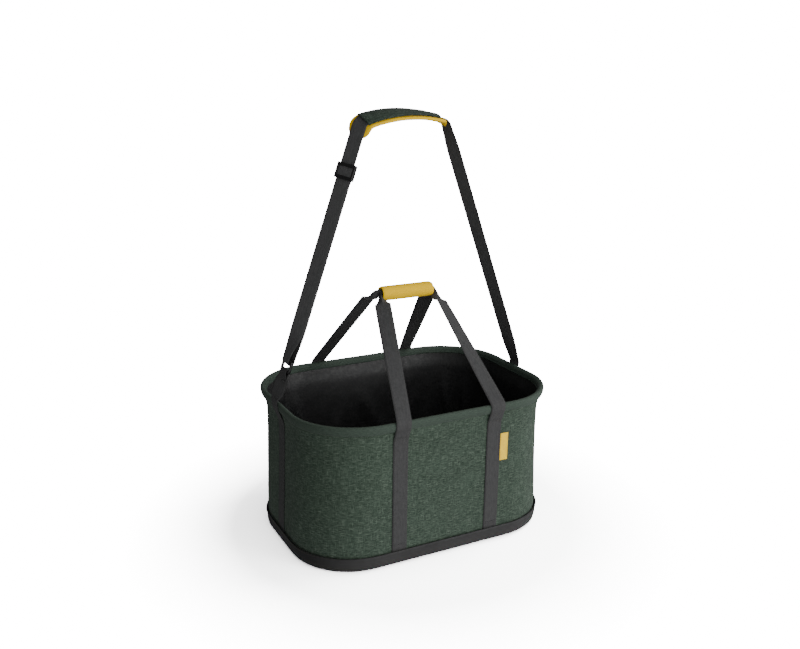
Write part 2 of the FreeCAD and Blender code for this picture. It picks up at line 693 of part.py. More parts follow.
# The slider: two bars outside the strap, one inside it, joined by two rails.
BAR_RADIUS = 1.2
HALF_SLIDER = "sizes.slider_width / 2"
inner_face = f"-{RETURN_DEPTH} - {BAR_RADIUS}"
outer_face = "sizes.webbing_thickness / 2 + sizes.slider_clearance"
pieces = []
for end in ("-sizes.slider_length / 2", "sizes.slider_length / 2 - sizes.slider_bar"):
    pieces.append(sized_box("slider_bar", ("sizes.slider_thickness", "sizes.slider_width",
                                           "sizes.slider_bar"),
                            (outer_face, f"-{HALF_SLIDER}", end)))
for edge in (f"-{HALF_SLIDER}", f"{HALF_SLIDER} - sizes.slider_rail"):
    pieces.append(sized_box(
        "slider_rail", (f"{outer_face} + sizes.slider_thickness - ({inner_face})",
                        "sizes.slider_rail", "sizes.slider_length"),
        (inner_face, edge, "-sizes.slider_length / 2")))
middle_bar = cylinder("slider_middle_bar", str(BAR_RADIUS),
                      "sizes.slider_width - sizes.slider_rail")
middle_bar.Placement.Base.x = -RETURN_DEPTH
frame = fuse("slider_pieces", pieces + [middle_bar])
seat = left_station(slider_place, LEG_ROLL)
frame.Placement = FreeCAD.Placement(seat.middle, aimed(left_way, seat.outward))
finish(frame, "slider_frame")
sewn_loop("slider_sewn_end", f"{BAR_RADIUS} + 0.1", "sizes.sewn_end_length", left_way,
          seat.outward, seat.moved(-RETURN_DEPTH).middle)

# The pad: a cover above the strap and a base under it that reaches past both ends.
LAYER_GAP = 0.1
left_reach = (left_top - upper_bar).Length
base_path = ([left_station(left_reach - size("pad_left_tail"), LEG_ROLL)] + left_turn
             + crest[1:] + right_turn[1:]
             + [right_station(right_reach - size("pad_right_tail"), RIGHT_TOP_ROLL)])
base_thickness = size("pad_thickness")
base_depth = thickness / 2 + LAYER_GAP + base_thickness / 2
END_SHARE = 0.6
shares = [END_SHARE] + [1] * (len(base_path) - 2) + [END_SHARE]
band("pad_base", [s.moved(-base_depth) for s in base_path],
     [size("pad_width") * s for s in shares], [base_thickness * s for s in shares])
cover_angle = crest_angle - size("cover_setback")
cover_roll = between(LEFT_CREST_ROLL, RIGHT_CREST_ROLL, (1 + cover_angle / crest_angle) / 2)
cover_end = on_arc(crest_middle, crest_radius, cover_angle, cover_roll)
cover_path = left_turn[-2:] + crest[1:-1] + [cover_end]
cover_height = thickness / 2 + LAYER_GAP + size("cover_thickness") / 2
even_band("pad_cover", [s.moved(cover_height) for s in cover_path], size("cover_width"),
          size("cover_thickness"))

# ---------------------------------------------------------------- checks and files

doc.recompute()
for piece in doc.Objects:
    if "Invalid" in piece.State or "Error" in piece.State:
        raise RuntimeError(f"{piece.Label} failed: {piece.State}")
for piece in subparts:
    if piece.Shape.isNull() or not piece.Shape.isValid() or piece.Shape.Volume <= 0:
        raise RuntimeError(f"{piece.Label} has no valid shape")
    piece.Shape.exportStep(f"parts/{piece.Label}.step")
print(len(subparts), "sub-parts written")
for name, point in (("lower bar", lower_bar), ("upper bar", upper_bar), ("slider", seat.middle),
                    ("slide", left_way), ("apex", crest[CREST_STEPS // 2].middle)):
    print(name, [round(c, 3) for c in point])
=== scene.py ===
import json
from math import acos, asin, atan2, copysign, cos, degrees, exp, hypot, pi, radians, sin, sqrt

import bmesh
import bpy
import numpy as np
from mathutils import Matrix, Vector


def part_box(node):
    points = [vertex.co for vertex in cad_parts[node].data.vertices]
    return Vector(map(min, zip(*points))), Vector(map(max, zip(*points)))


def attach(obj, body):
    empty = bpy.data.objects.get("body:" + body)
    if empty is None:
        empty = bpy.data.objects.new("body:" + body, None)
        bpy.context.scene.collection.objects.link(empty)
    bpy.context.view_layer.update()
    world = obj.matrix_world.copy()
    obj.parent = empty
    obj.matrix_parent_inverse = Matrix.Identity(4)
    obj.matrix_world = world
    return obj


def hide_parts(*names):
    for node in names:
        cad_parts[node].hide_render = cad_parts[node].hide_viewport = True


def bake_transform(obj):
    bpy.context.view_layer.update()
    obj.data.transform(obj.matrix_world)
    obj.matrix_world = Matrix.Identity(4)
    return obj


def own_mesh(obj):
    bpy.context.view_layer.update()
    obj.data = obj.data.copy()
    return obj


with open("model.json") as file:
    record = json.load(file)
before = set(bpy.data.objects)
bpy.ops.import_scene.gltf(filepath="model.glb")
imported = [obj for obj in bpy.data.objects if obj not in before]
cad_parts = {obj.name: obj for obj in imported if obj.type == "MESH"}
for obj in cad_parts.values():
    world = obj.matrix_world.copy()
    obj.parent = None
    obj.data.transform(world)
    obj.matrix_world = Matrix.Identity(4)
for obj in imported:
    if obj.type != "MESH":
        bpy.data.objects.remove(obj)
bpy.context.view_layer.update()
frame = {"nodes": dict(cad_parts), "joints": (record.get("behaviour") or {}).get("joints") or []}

# A carry basket: green fabric walls on a moulded tray, a hooped rim, webbing handles
# with a padded grip, and a padded shoulder strap. Metres; +X along the length, +Y back.

# ---- sizes

WEBBING_WIDTH = 0.032
WEBBING_THICKNESS = 0.0016
SEWN_GAP = 0.0002
STITCH_PITCH, STITCH_LENGTH, THREAD_RADIUS = 0.0042, 0.0029, 0.00034

# (height, half length, half width, corner radius)
WALL_LEVELS = ((0.0057, 0.2715, 0.1835, 0.1240), (0.033, 0.2738, 0.1878, 0.1283),
               (0.150, 0.2685, 0.1908, 0.1275), (0.258, 0.2655, 0.1950, 0.1260),
               (0.286, 0.2710, 0.2015, 0.1320))
TRAY_LEVELS = ((0.0, 0.270, 0.181, 0.121), (0.007, 0.276, 0.1882, 0.129),
               (0.033, 0.279, 0.193, 0.134))
RIM = (0.265, 0.196, 0.126)
SHELL, FOAM, LINING = 0.0012, 0.0038, 0.0010
BINDING = ((-0.0004, 0.2900), (0.0002, 0.2945), (0.0014, 0.2990), (0.0045, 0.3028), (0.0085, 0.3042),
           (0.0120, 0.3025), (0.0130, 0.2985), (0.0122, 0.2925), (0.0086, 0.2858), (0.0030, 0.2880))
PANEL_SEAM = 0.0006

FOOT, CROWN = WALL_LEVELS[0][0], WALL_LEVELS[-1][0]


def middle_x(node):
    low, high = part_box(node)
    return (low.x + high.x) / 2


SIDES, WAYS = {"front": -1, "back": 1}, {"left": -1, "right": 1}
STRAP_PLACES = {(face, hand): middle_x(f"{face}_wall_strap_{hand}") for face in SIDES for hand in WAYS}
JOINTS = {joint["name"]: joint for joint in frame["joints"]}
PIVOT = Vector(JOINTS["back_handle_swing"]["pos_m"])
SWING = Vector(JOINTS["shoulder_strap_swing"]["pos_m"])
LOWER_BAR = Vector(JOINTS["strap_ring_rock"]["pos_m"])

GRIP_LOW, GRIP_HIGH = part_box("grip_wrap")
GRIP = (GRIP_LOW + GRIP_HIGH) / 2
GRIP.y = (GRIP_LOW.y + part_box("grip_flap")[1].y) / 2
GRIP_HALF = (GRIP_HIGH.x - GRIP_LOW.x) / 2
GRIP_BORE = 0.0105
ALONG, ACROSS, UP = Vector((1, 0, 0)), Vector((0, -1, 0)), Vector((0, 0, 1))

# ---- curves and outlines


def smooth(share):
    share = min(1.0, max(0.0, share))
    return share * share * (3 - 2 * share)


def mix(a, b, share):
    return a + (b - a) * share


def level_at(height, levels):
    """Half sizes and corner radius at a height, on a smooth curve through the levels."""
    last = len(levels) - 1
    low = next((i for i in range(last) if height <= levels[i + 1][0]), last - 1)

    def slope(i):
        before, after = levels[max(0, i - 1)], levels[min(last, i + 1)]
        return [(q - p) / (after[0] - before[0]) for p, q in zip(before[1:], after[1:])]

    start, end = levels[low], levels[low + 1]
    run = end[0] - start[0]
    t = (height - start[0]) / run
    out = []
    for p, q, m, n in zip(start[1:], end[1:], slope(low), slope(low + 1)):
        out.append(p * (1 + 2 * t) * (1 - t) ** 2 + m * run * t * (1 - t) ** 2
                   + q * t * t * (3 - 2 * t) + n * run * t * t * (t - 1))
    return out


END_STEPS, ARC_STEPS, SIDE_STEPS = 10, 34, 24


def outline(half_x, half_y, corner):
    """Points and outward directions round a rounded rectangle, from +X through +Y."""
    quarter = [(half_x, (half_y - corner) * i / END_STEPS, 1.0, 0.0) for i in range(END_STEPS)]
    for i in range(ARC_STEPS):
        turn = pi / 2 * i / ARC_STEPS
        c, s = cos(turn), sin(turn)
        quarter.append((half_x - corner + corner * c, half_y - corner + corner * s, c, s))
    quarter += [((half_x - corner) * (1 - i / SIDE_STEPS), half_y, 0.0, 1.0)
                for i in range(SIDE_STEPS)]
    middle = [(0.0, half_y, 0.0, 1.0)]
    half = quarter + middle + [(-x, y, -p, q) for x, y, p, q in reversed(quarter[1:])]
    half = half[:2 * len(quarter)]
    return half + [(-x, -y, -p, -q) for x, y, p, q in half]


def running_length(points, closed=False):
    """Distance along a line of points, one more value than points if it is closed."""
    points = [Vector(p) for p in points]
    if closed:
        points.append(points[0])
    lengths = [0.0]
    for a, b in zip(points, points[1:]):
        lengths.append(lengths[-1] + (b - a).length)
    return lengths


def round_length(section):
    """Distance round a flat closed section."""
    return running_length([(point[0], point[1], 0) for point in section], True)


COLUMNS = len(outline(*RIM))
AROUND = round_length(outline(*WALL_LEVELS[3][1:]))
PERIMETER = AROUND[-1]


def share_at(place, axis, side):
    """How far round the basket a strap is, from 0 to 1, on a side (axis y) or an end (axis x)."""
    if axis == "x":
        return 0.0 if side > 0 else 0.5
    return (0.25 - place / PERIMETER) if side > 0 else (0.75 + place / PERIMETER)


def slack(share, height):
    """How far the sewn fabric stands proud of a taut wall."""
    rise = (height - FOOT) / (CROWN - FOOT)
    turn = 2 * pi * share
    waves = (sin(3 * turn + 0.6) * sin(2.2 * rise + 0.5)
             + 0.7 * sin(7 * turn + 2.4 * rise + 1.1)
             + 0.5 * sin(13 * turn - 3.0 * rise))
    return 0.0011 * max(0.0, sin(pi * rise)) ** 0.7 * (1 + waves / 2.2)


def rounded(points, cuts, steps):
    """A line of points with each inner corner rounded, starting its cut before the corner."""
    points = [Vector(p) for p in points]
    line = [points[0]]
    for i in range(1, len(points) - 1):
        before, corner, after = points[i - 1:i + 2]
        cut_in = min(cuts[i - 1], (corner - before).length * 0.49)
        cut_out = min(cuts[i - 1], (after - corner).length * 0.49)
        a = corner + (before - corner).normalized() * cut_in
        b = corner + (after - corner).normalized() * cut_out
        for k in range(steps + 1):
            t = k / steps
            line.append(a * (1 - t) ** 2 + corner * 2 * t * (1 - t) + b * t * t)
    return line + [points[-1]]


def resampled(points, step, *values):
    """The line at even steps, with any values given per point read off beside it."""
    lengths = running_length(points)
    count = max(2, round(lengths[-1] / step) + 1)
    wanted = np.linspace(0, lengths[-1], count)
    table = np.array([list(p) for p in points])
    out = np.column_stack([np.interp(wanted, lengths, table[:, k]) for k in range(3)])
    read = [np.interp(wanted, lengths, v) for v in values]
    return ([Vector(p) for p in out], *read) if values else [Vector(p) for p in out]


# ---- meshes


def new_mesh(name, points, faces, uvs=None, sharp=40):
    mesh = bpy.data.meshes.new(name)
    mesh.from_pydata([tuple(p) for p in points], [], faces)
    if uvs:
        layer = mesh.uv_layers.new(name="metres")
        layer.data.foreach_set("uv", [c for uv in uvs for c in uv])
    work = bmesh.new()
    work.from_mesh(mesh)
    bmesh.ops.recalc_face_normals(work, faces=work.faces)
    work.to_mesh(mesh)
    work.free()
    mesh.shade_smooth()
    mesh.set_sharp_from_angle(angle=radians(sharp))
    return mesh


def swept(name, rings, along, around, closed=False, sharp=40):
    """A closed skin through closed rings of points; UVs are (along, around) in metres."""
    count, total = len(rings[0]), len(rings)
    points = [p for ring in rings for p in ring]
    faces, uvs = [], []
    for i in range(total if closed else total - 1):
        j = (i + 1) % total
        for k in range(count):
            m = (k + 1) % count
            faces.append((i * count + k, i * count + m, j * count + m, j * count + k))
            uvs += [(along[i], around[k]), (along[i], around[k + 1]),
                    (along[i + 1], around[k + 1]), (along[i + 1], around[k])]
    if not closed:
        for i in (0, total - 1):
            faces.append(tuple(range(i * count, (i + 1) * count)))
            uvs += [(along[i], around[k]) for k in range(count)]
    return new_mesh(name, points, faces, uvs, sharp)


def placed(name, data):
    obj = bpy.data.objects.new(name, data)
    bpy.context.scene.collection.objects.link(obj)
    return obj


def piece(name, mesh, material, body=None, replaces=()):
    """A new object for a mesh, with its material and slot, riding a body."""
    obj = placed(name, mesh)
    obj.data.materials.clear()
    obj.data.materials.append(material)
    if body:
        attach(obj, body)
    if replaces:
        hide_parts(*replaces)
    return obj


CREASE = 0.0019  # how far from its middle a folded strap bends


class Station:
    """A cross-section of webbing: its middle, its width's direction, its outer side, its fold."""

    def __init__(self, middle, along, across, fold=0.0, out=0.0):
        along = Vector(along).normalized()
        across = Vector(across)
        self.across = (across - along * across.dot(along)).normalized()
        self.outward = self.across.cross(along)
        self.middle = Vector(middle) + self.outward * out
        self.fold = fold

    def point(self, a, b):
        """The point at a across and b out, where the fold bends both halves back."""
        if self.fold < 1e-3:
            return self.middle + self.across * a + self.outward * b
        sign, reach = copysign(1, a), abs(a)
        angle = self.fold * min(1.0, reach / CREASE)
        radius = CREASE / self.fold
        flat, back = radius * sin(angle), radius * (1 - cos(angle))
        if reach > CREASE:
            flat += (reach - CREASE) * cos(angle)
            back += (reach - CREASE) * sin(angle)
        flat += b * sin(angle)
        return (self.middle + self.across * (sign * flat)
                + self.outward * (b * cos(angle) - back))


def webbing_ring(width, thickness):
    """Where a strap's section runs: (across, out) round it, with soft selvedges."""
    half, t = width / 2, thickness / 2
    flat = [-half + t * 1.2 + (width - 2.4 * t) * i / 10 for i in range(11)]
    ring = []
    for side in (1, -1):
        row = flat[::side]
        ring += [(a, side * t) for a in row]
        ring += [(row[-1] + side * 1.2 * t * sin(turn), side * t * cos(turn))
                 for turn in (pi / 4, pi / 2, 3 * pi / 4)]
    return ring


def webbing(name, stations, width=WEBBING_WIDTH, thickness=WEBBING_THICKNESS):
    """A length of webbing through stations."""
    section = webbing_ring(width, thickness)
    rings = [[s.point(a, b) for a, b in section] for s in stations]
    along = running_length([s.middle for s in stations])
    return swept(name, rings, along, round_length(section))


def web_piece(name, stations, look, body=None, replaces=(), **sizes):
    return piece(name, webbing(name, stations, **sizes), look, body, replaces)


def threads(name, runs, radius=THREAD_RADIUS):
    """Stitches: each run is (start, end, outward), a short thread that dips at both ends."""
    points, faces = [], []
    sides, parts = 5, 5
    for start, end, outward in runs:
        along = (end - start).normalized()
        outward = (outward - along * outward.dot(along)).normalized()
        across = along.cross(outward)
        base = len(points)
        for i in range(parts):
            t = i / (parts - 1)
            arch = 4 * t * (1 - t)
            middle = start + (end - start) * t + outward * radius * (1.1 * arch - 0.6)
            size = radius * (0.55 + 0.45 * arch)
            for k in range(sides):
                turn = 2 * pi * k / sides
                points.append(middle + across * size * cos(turn)
                              + outward * size * sin(turn))
        for i in range(parts - 1):
            for k in range(sides):
                a, b = base + i * sides + k, base + i * sides + (k + 1) % sides
                faces.append((a, b, b + sides, a + sides))
        faces.append(tuple(range(base, base + sides)))
        faces.append(tuple(range(base + (parts - 1) * sides, base + parts * sides)))
    return new_mesh(name, points, faces, sharp=80)


def sewn_piece(name, runs, thread, body=None, replaces=(), radius=THREAD_RADIUS):
    return piece(name, threads(name, runs, radius), thread, body, replaces)


def dashes(points, outwards, pitch=STITCH_PITCH, length=STITCH_LENGTH):
    """Stitches along a line of points, with the direction out of the fabric at each."""
    lengths = running_length(points)
    table = np.array([list(p) + list(o) for p, o in zip(points, outwards)])

    def at(distance):
        row = [np.interp(distance, lengths, table[:, k]) for k in range(6)]
        return Vector(row[:3]), Vector(row[3:])

    runs = []
    for i in range(int(lengths[-1] / pitch)):
        start, outward = at(i * pitch)
        runs.append((start, at(i * pitch + length)[0], outward))
    return runs


# ---- materials


def plug(tree, socket, value):
    if isinstance(value, bpy.types.NodeSocket):
        tree.links.new(value, socket)
    else:
        socket.default_value = value


class Look:
    """A procedural material under construction; its helpers return output sockets."""

    def __init__(self, name, roughness=0.8, specular=0.3, sheen=0.0, **shader):
        self.material = bpy.data.materials.new(name)
        self.material.use_nodes = True
        self.tree = self.material.node_tree
        self.shader = self.tree.nodes["Principled BSDF"]
        for key, value in (("Roughness", roughness), ("Specular IOR Level", specular),
                           ("Sheen Weight", sheen)):
            self.shader.inputs[key].default_value = value
        for key, value in shader.items():
            self.shader.inputs[key.replace("_", " ")].default_value = value

    def node(self, kind, **settings):
        node = self.tree.nodes.new("ShaderNode" + kind)
        for key, value in settings.items():
            setattr(node, key, value)
        return node

    def coordinates(self, kind):
        return self.node("TexCoord").outputs[kind]

    def noise(self, vector, scale, detail=3.0, roughness=0.5):
        node = self.node("TexNoise")
        plug(self.tree, node.inputs["Vector"], vector)
        for key, value in (("Scale", scale), ("Detail", detail), ("Roughness", roughness)):
            node.inputs[key].default_value = value
        return node.outputs[0]

    def grain(self, vector, scale, detail, roughness=0.5):
        """Noise with its own scale along each axis."""
        node = self.node("Mapping")
        plug(self.tree, node.inputs["Vector"], vector)
        node.inputs["Scale"].default_value = scale
        return self.noise(node.outputs[0], 1.0, detail, roughness)

    def cells(self, vector, scale):
        node = self.node("TexVoronoi")
        plug(self.tree, node.inputs["Vector"], vector)
        node.inputs["Scale"].default_value = scale
        return node.outputs["Distance"]

    def split(self, vector):
        node = self.node("SeparateXYZ")
        plug(self.tree, node.inputs[0], vector)
        return node.outputs

    def maths(self, operation, a, b=0.0, c=0.0):
        node = self.node("Math", operation=operation)
        for socket, value in zip(node.inputs, (a, b, c)):
            plug(self.tree, socket, value)
        return node.outputs[0]

    def times(self, a, b):
        return self.maths("MULTIPLY", a, b)

    def times_plus(self, a, b, c):
        return self.maths("MULTIPLY_ADD", a, b, c)

    def ripple(self, coordinate, pitch):
        """A wave from 0 to 1 with that pitch."""
        return self.times_plus(self.maths("SINE", self.times(coordinate, 2 * pi / pitch)), 0.5, 0.5)

    def between(self, value, low, high, out_low=0.0, out_high=1.0):
        node = self.node("MapRange")
        for socket, number in zip(node.inputs, (value, low, high, out_low, out_high)):
            plug(self.tree, socket, number)
        return node.outputs[0]

    def tint(self, share, a, b):
        """A colour between two colours."""
        node = self.node("Mix", data_type="RGBA")
        plug(self.tree, node.inputs[0], share)
        for socket, value in ((node.inputs[6], a), (node.inputs[7], b)):
            plug(self.tree, socket, value if isinstance(value, bpy.types.NodeSocket)
                 else (*value, 1.0))
        return node.outputs[2]

    def finish(self, colour, roughness=None, height=None, depth=0.0003, strength=1.0):
        plug(self.tree, self.shader.inputs["Base Color"], colour)
        if roughness is not None:
            plug(self.tree, self.shader.inputs["Roughness"], roughness)
        if height is not None:
            bump = self.node("Bump")
            bump.inputs["Strength"].default_value = strength
            bump.inputs["Distance"].default_value = depth
            plug(self.tree, bump.inputs["Height"], height)
            self.tree.links.new(bump.outputs[0], self.shader.inputs["Normal"])
        return self.material

    def surface(self, output):
        self.tree.links.new(output, self.tree.nodes["Material Output"].inputs["Surface"])
        return self.material


def melange(name, dark, middle, light):
    """Woven fabric of mixed yarns, with light slubs along the weft and a few up the warp."""
    look = Look(name, roughness=0.85, specular=0.12, sheen=0.04)
    place = look.coordinates("UV")
    u, v, _ = look.split(place)
    long_weft = look.grain(place, (64, 880, 1), 4, 0.65)
    short_weft = look.grain(place, (140, 1150, 1), 3, 0.6)
    warp = look.grain(place, (760, 60, 1), 3, 0.6)
    cloud = look.grain(place, (14, 22, 1), 2, 0.5)
    ground = look.times_plus(short_weft, 0.6, look.times(warp, 0.4))
    ground = look.between(look.times_plus(cloud, 0.2, ground), 0.45, 0.75)
    colour = look.tint(ground, dark, middle)
    slubs = look.between(long_weft, 0.50, 0.66)
    flecks = look.between(short_weft, 0.54, 0.66)
    streaks = look.times_plus(slubs, 0.55, look.times(flecks, 0.32))
    upright = look.times(look.between(warp, 0.56, 0.70), 0.36)
    share = look.maths("MINIMUM", look.maths("ADD", streaks, upright), 1.0)
    colour = look.tint(share, colour, light)
    weave = look.times(look.ripple(u, 0.0011), look.ripple(v, 0.0011))
    height = look.times_plus(weave, 0.45, look.times_plus(short_weft, 0.5, share))
    return look.finish(colour, look.between(short_weft, 0.2, 0.8, 0.72, 0.95), height, 0.00035, 0.7)


def tape(name, dark, light):
    """Plain woven binding tape: fine ribs across a smooth band."""
    look = Look(name, roughness=0.7, specular=0.2, sheen=0.03)
    place = look.coordinates("UV")
    u, v, _ = look.split(place)
    uneven = look.grain(place, (160, 500, 1), 3)
    colour = look.tint(look.between(uneven, 0.3, 0.7), dark, light)
    ribs = look.times_plus(look.ripple(u, 0.0009), 0.6, look.ripple(v, 0.0012))
    return look.finish(colour, look.between(uneven, 0.2, 0.8, 0.6, 0.8), ribs, 0.0002, 0.6)


def woven_webbing(name, dark, light):
    """Heavy webbing: chevron ribs, a flat selvedge at both edges with painted shade darkening the colour
    there, and dulled crossings.
    """
    look = Look(name, roughness=0.62, specular=0.22, sheen=0.02)
    place = look.coordinates("UV")
    u, v, _ = look.split(place)
    column = look.maths("PINGPONG", v, 0.002)
    chevron = look.ripple(look.times_plus(column, 0.8, u), 0.0014)
    cord = look.ripple(v, 0.002)
    edge = look.maths("PINGPONG", v, WEBBING_WIDTH / 2 + 0.0004)
    selvedge_and_painted_shade = look.between(edge, 0.0012, 0.0028)
    uneven = look.grain(place, (70, 300, 1), 3)
    yarn = look.grain(place, (1200, 1200, 1), 2)
    weave = look.times_plus(chevron, 0.6, look.times(cord, 0.4))
    shade = look.times_plus(uneven, 0.5, look.times(weave, 0.35))
    # Painted shade: the colour darkens towards both edges, standing in for the shade along a raised strap's
    # edges; the selvedge's flat bump is real.
    shade = look.times(look.times_plus(yarn, 0.3, shade),
                       look.between(selvedge_and_painted_shade, 0, 1, 0.55, 1.0))
    colour = look.tint(look.between(shade, 0.15, 0.85), dark, light)
    height = look.times(weave, look.between(selvedge_and_painted_shade, 0, 1, 0.3, 1.0))
    return look.finish(colour, look.between(weave, 0, 1, 0.72, 0.55), height, 0.00045, 0.8)


def padded_cloth(name, dark, light):
    """Soft brushed cloth over padding: a fine knit with a faint pile."""
    look = Look(name, roughness=0.75, specular=0.15, sheen=0.06, Sheen_Roughness=0.4)
    place = look.coordinates("Object")
    knit = look.cells(place, 850)
    pile = look.noise(place, 1900, 2)
    shade = look.noise(place, 35, 2)
    mixed = look.times_plus(knit, 0.55, look.times(shade, 0.25))
    colour = look.tint(look.between(mixed, 0.15, 0.75), light, dark)
    height = look.maths("SUBTRACT", look.times(pile, 0.4), knit)
    return look.finish(colour, look.between(pile, 0.2, 0.8, 0.68, 0.85), height, 0.0003, 0.5)


def coated_lining(name, dark, light):
    """Thin coated lining: a tight plain weave under a dull film."""
    look = Look(name, roughness=0.46, specular=0.5)
    place = look.coordinates("UV")
    u, v, _ = look.split(place)
    film = look.grain(place, (30, 40, 1), 4)
    weave = look.times(look.ripple(u, 0.0006), look.ripple(v, 0.0006))
    crinkle = look.grain(place, (120, 90, 1), 4, 0.6)
    colour = look.tint(look.between(film, 0.3, 0.7), dark, light)
    height = look.times_plus(weave, 0.12, crinkle)
    return look.finish(colour, look.between(crinkle, 0.3, 0.7, 0.42, 0.62), height, 0.0006, 0.5)


def moulded(name, dark, light, roughness, grain, depth):
    """Moulded plastic: fine spark grain, faint flow marks and duller rubbed patches."""
    look = Look(name, roughness=roughness, specular=0.4)
    place = look.coordinates("Object")
    spark = look.noise(place, grain, 3, 0.6)
    flow = look.grain(place, (9, 9, 30), 4)
    rub = look.between(look.noise(place, 45, 4), 0.45, 0.7)
    colour = look.tint(look.between(look.times_plus(spark, 0.3, flow), 0.4, 0.9),
                       dark, light)
    rough = look.between(flow, 0.3, 0.7, roughness - 0.05, roughness + 0.05)
    return look.finish(colour, look.times_plus(rub, 0.12, rough), spark, depth, 0.5)


def drawn_metal(name):
    look = Look(name, roughness=0.35, specular=0.5, Metallic=1.0)
    place = look.coordinates("Object")
    lines = look.grain(place, (40, 40, 1800), 3)
    colour = look.tint(lines, (0.55, 0.55, 0.57), (0.8, 0.8, 0.82))
    return look.finish(colour, look.between(lines, 0.3, 0.7, 0.28, 0.42), lines, 0.00005, 0.4)


def closed_cell_foam(name):
    look = Look(name, roughness=0.95, specular=0.1)
    place = look.coordinates("Object")
    cells = look.cells(place, 700)
    tone = look.noise(place, 25, 3)
    mixed = look.times_plus(cells, 0.6, look.times(tone, 0.5))
    colour = look.tint(look.between(mixed, 0.2, 0.9), (0.34, 0.34, 0.33), (0.17, 0.17, 0.17))
    return look.finish(colour, None, cells, 0.0004, 0.6)


def sewing_thread(name, dark, light):
    look = Look(name, roughness=0.55, specular=0.35, sheen=0.2)
    place = look.coordinates("Object")
    twist = look.noise(place, 2600, 2)
    return look.finish(look.tint(look.between(twist, 0.3, 0.7), dark, light),
                       look.between(twist, 0.3, 0.7, 0.5, 0.65), twist, 0.0002, 0.5)


def hooks_and_loops(name):
    look = Look(name, roughness=0.9, specular=0.15, sheen=0.3)
    place = look.coordinates("Object")
    tufts = look.cells(place, 950)
    fuzz = look.noise(place, 1500, 4, 0.7)
    colour = look.tint(look.between(tufts, 0.1, 0.7), (0.035, 0.035, 0.037), (0.008, 0.008, 0.008))
    height = look.maths("SUBTRACT", fuzz, tufts)
    return look.finish(colour, None, height, 0.0006, 0.9)


def tag_rubber(name, dark, light):
    look = Look(name, roughness=0.45, specular=0.4)
    place = look.coordinates("UV")
    grain = look.grain(place, (900, 900, 1), 3)
    tone = look.grain(place, (60, 90, 1), 2)
    colour = look.tint(look.between(look.times_plus(grain, 0.3, tone), 0.4, 0.9),
                       dark, light)
    return look.finish(colour, look.between(grain, 0.3, 0.7, 0.4, 0.55), grain, 0.00012, 0.5)


GREEN = melange("green_melange", (0.014, 0.025, 0.0165), (0.042, 0.066, 0.048), (0.150, 0.190, 0.150))
PAD_GREEN = melange("pad_melange", (0.009, 0.016, 0.0105), (0.026, 0.040, 0.030), (0.080, 0.104, 0.082))
BINDING_TAPE = tape("green_tape", (0.028, 0.043, 0.033), (0.048, 0.069, 0.053))
WEB = woven_webbing("dark_webbing", (0.015, 0.015, 0.0155), (0.056, 0.056, 0.057))
# Painted light: the shoulder strap uses the same webbing made lighter, standing in for light from the left
# that the lamps don't give.
SHOULDER_WEB_PAINTED_LIGHT = woven_webbing("shoulder_webbing_painted_light", (0.022, 0.022, 0.0226), (0.082, 0.082, 0.083))
YELLOW = padded_cloth("yellow_cloth", (0.62, 0.365, 0.001), (0.84, 0.54, 0.002))
BLACK = coated_lining("black_lining", (0.0060, 0.0060, 0.0064), (0.0120, 0.0120, 0.0124))
TRAY_LOOK = moulded("tray_plastic", (0.0085, 0.0085, 0.0085), (0.016, 0.016, 0.016), 0.52, 1500, 0.00012)
GLOSS_LOOK = moulded("buckle_plastic", (0.004, 0.004, 0.0042), (0.008, 0.008, 0.0084), 0.20, 2500,
                     0.00003)
BOARD_LOOK = moulded("board_plastic", (0.030, 0.030, 0.030), (0.055, 0.055, 0.055), 0.6, 900, 0.0002)
METAL = drawn_metal("hoop_metal")
FOAM_LOOK = closed_cell_foam("wall_foam")
THREAD = sewing_thread("dark_thread", (0.012, 0.012, 0.013), (0.035, 0.035, 0.037))
GREEN_THREAD = sewing_thread("green_thread", (0.020, 0.034, 0.028), (0.045, 0.070, 0.058))
YELLOW_THREAD = sewing_thread("yellow_thread", (0.50, 0.27, 0.004), (0.78, 0.46, 0.008))
FASTENER = hooks_and_loops("touch_fastener")
TAG = tag_rubber("yellow_tag", (0.78, 0.47, 0.010), (0.95, 0.64, 0.020))

for node, look in (("base_board", BOARD_LOOK), ("rim_hoop", METAL), ("hoop_joint_pin", METAL)):
    data = frame["nodes"][node].data
    data.materials.clear()
    data.materials.append(look)

# ---- tray

TRAY_WALL = 0.0025
LIP, BOTTOM = TRAY_LEVELS[-1][0], TRAY_LEVELS[0][1:]


def beside(column, out, height):
    """The point that far outside a column of an outline, at a height."""
    x, y, p, q = column
    return Vector((x + p * out, y + q * out, height))


def ring_at(half_x, half_y, corner, out, height):
    return [beside(column, out, height) for column in outline(half_x, half_y, corner)]


def tray_ring(height, out=0.0):
    return ring_at(*level_at(max(0.0, min(height, LIP)), TRAY_LEVELS), out, height)


def shrunk(ring, share, height):
    return [Vector((p.x * share, p.y * share, height)) for p in ring]


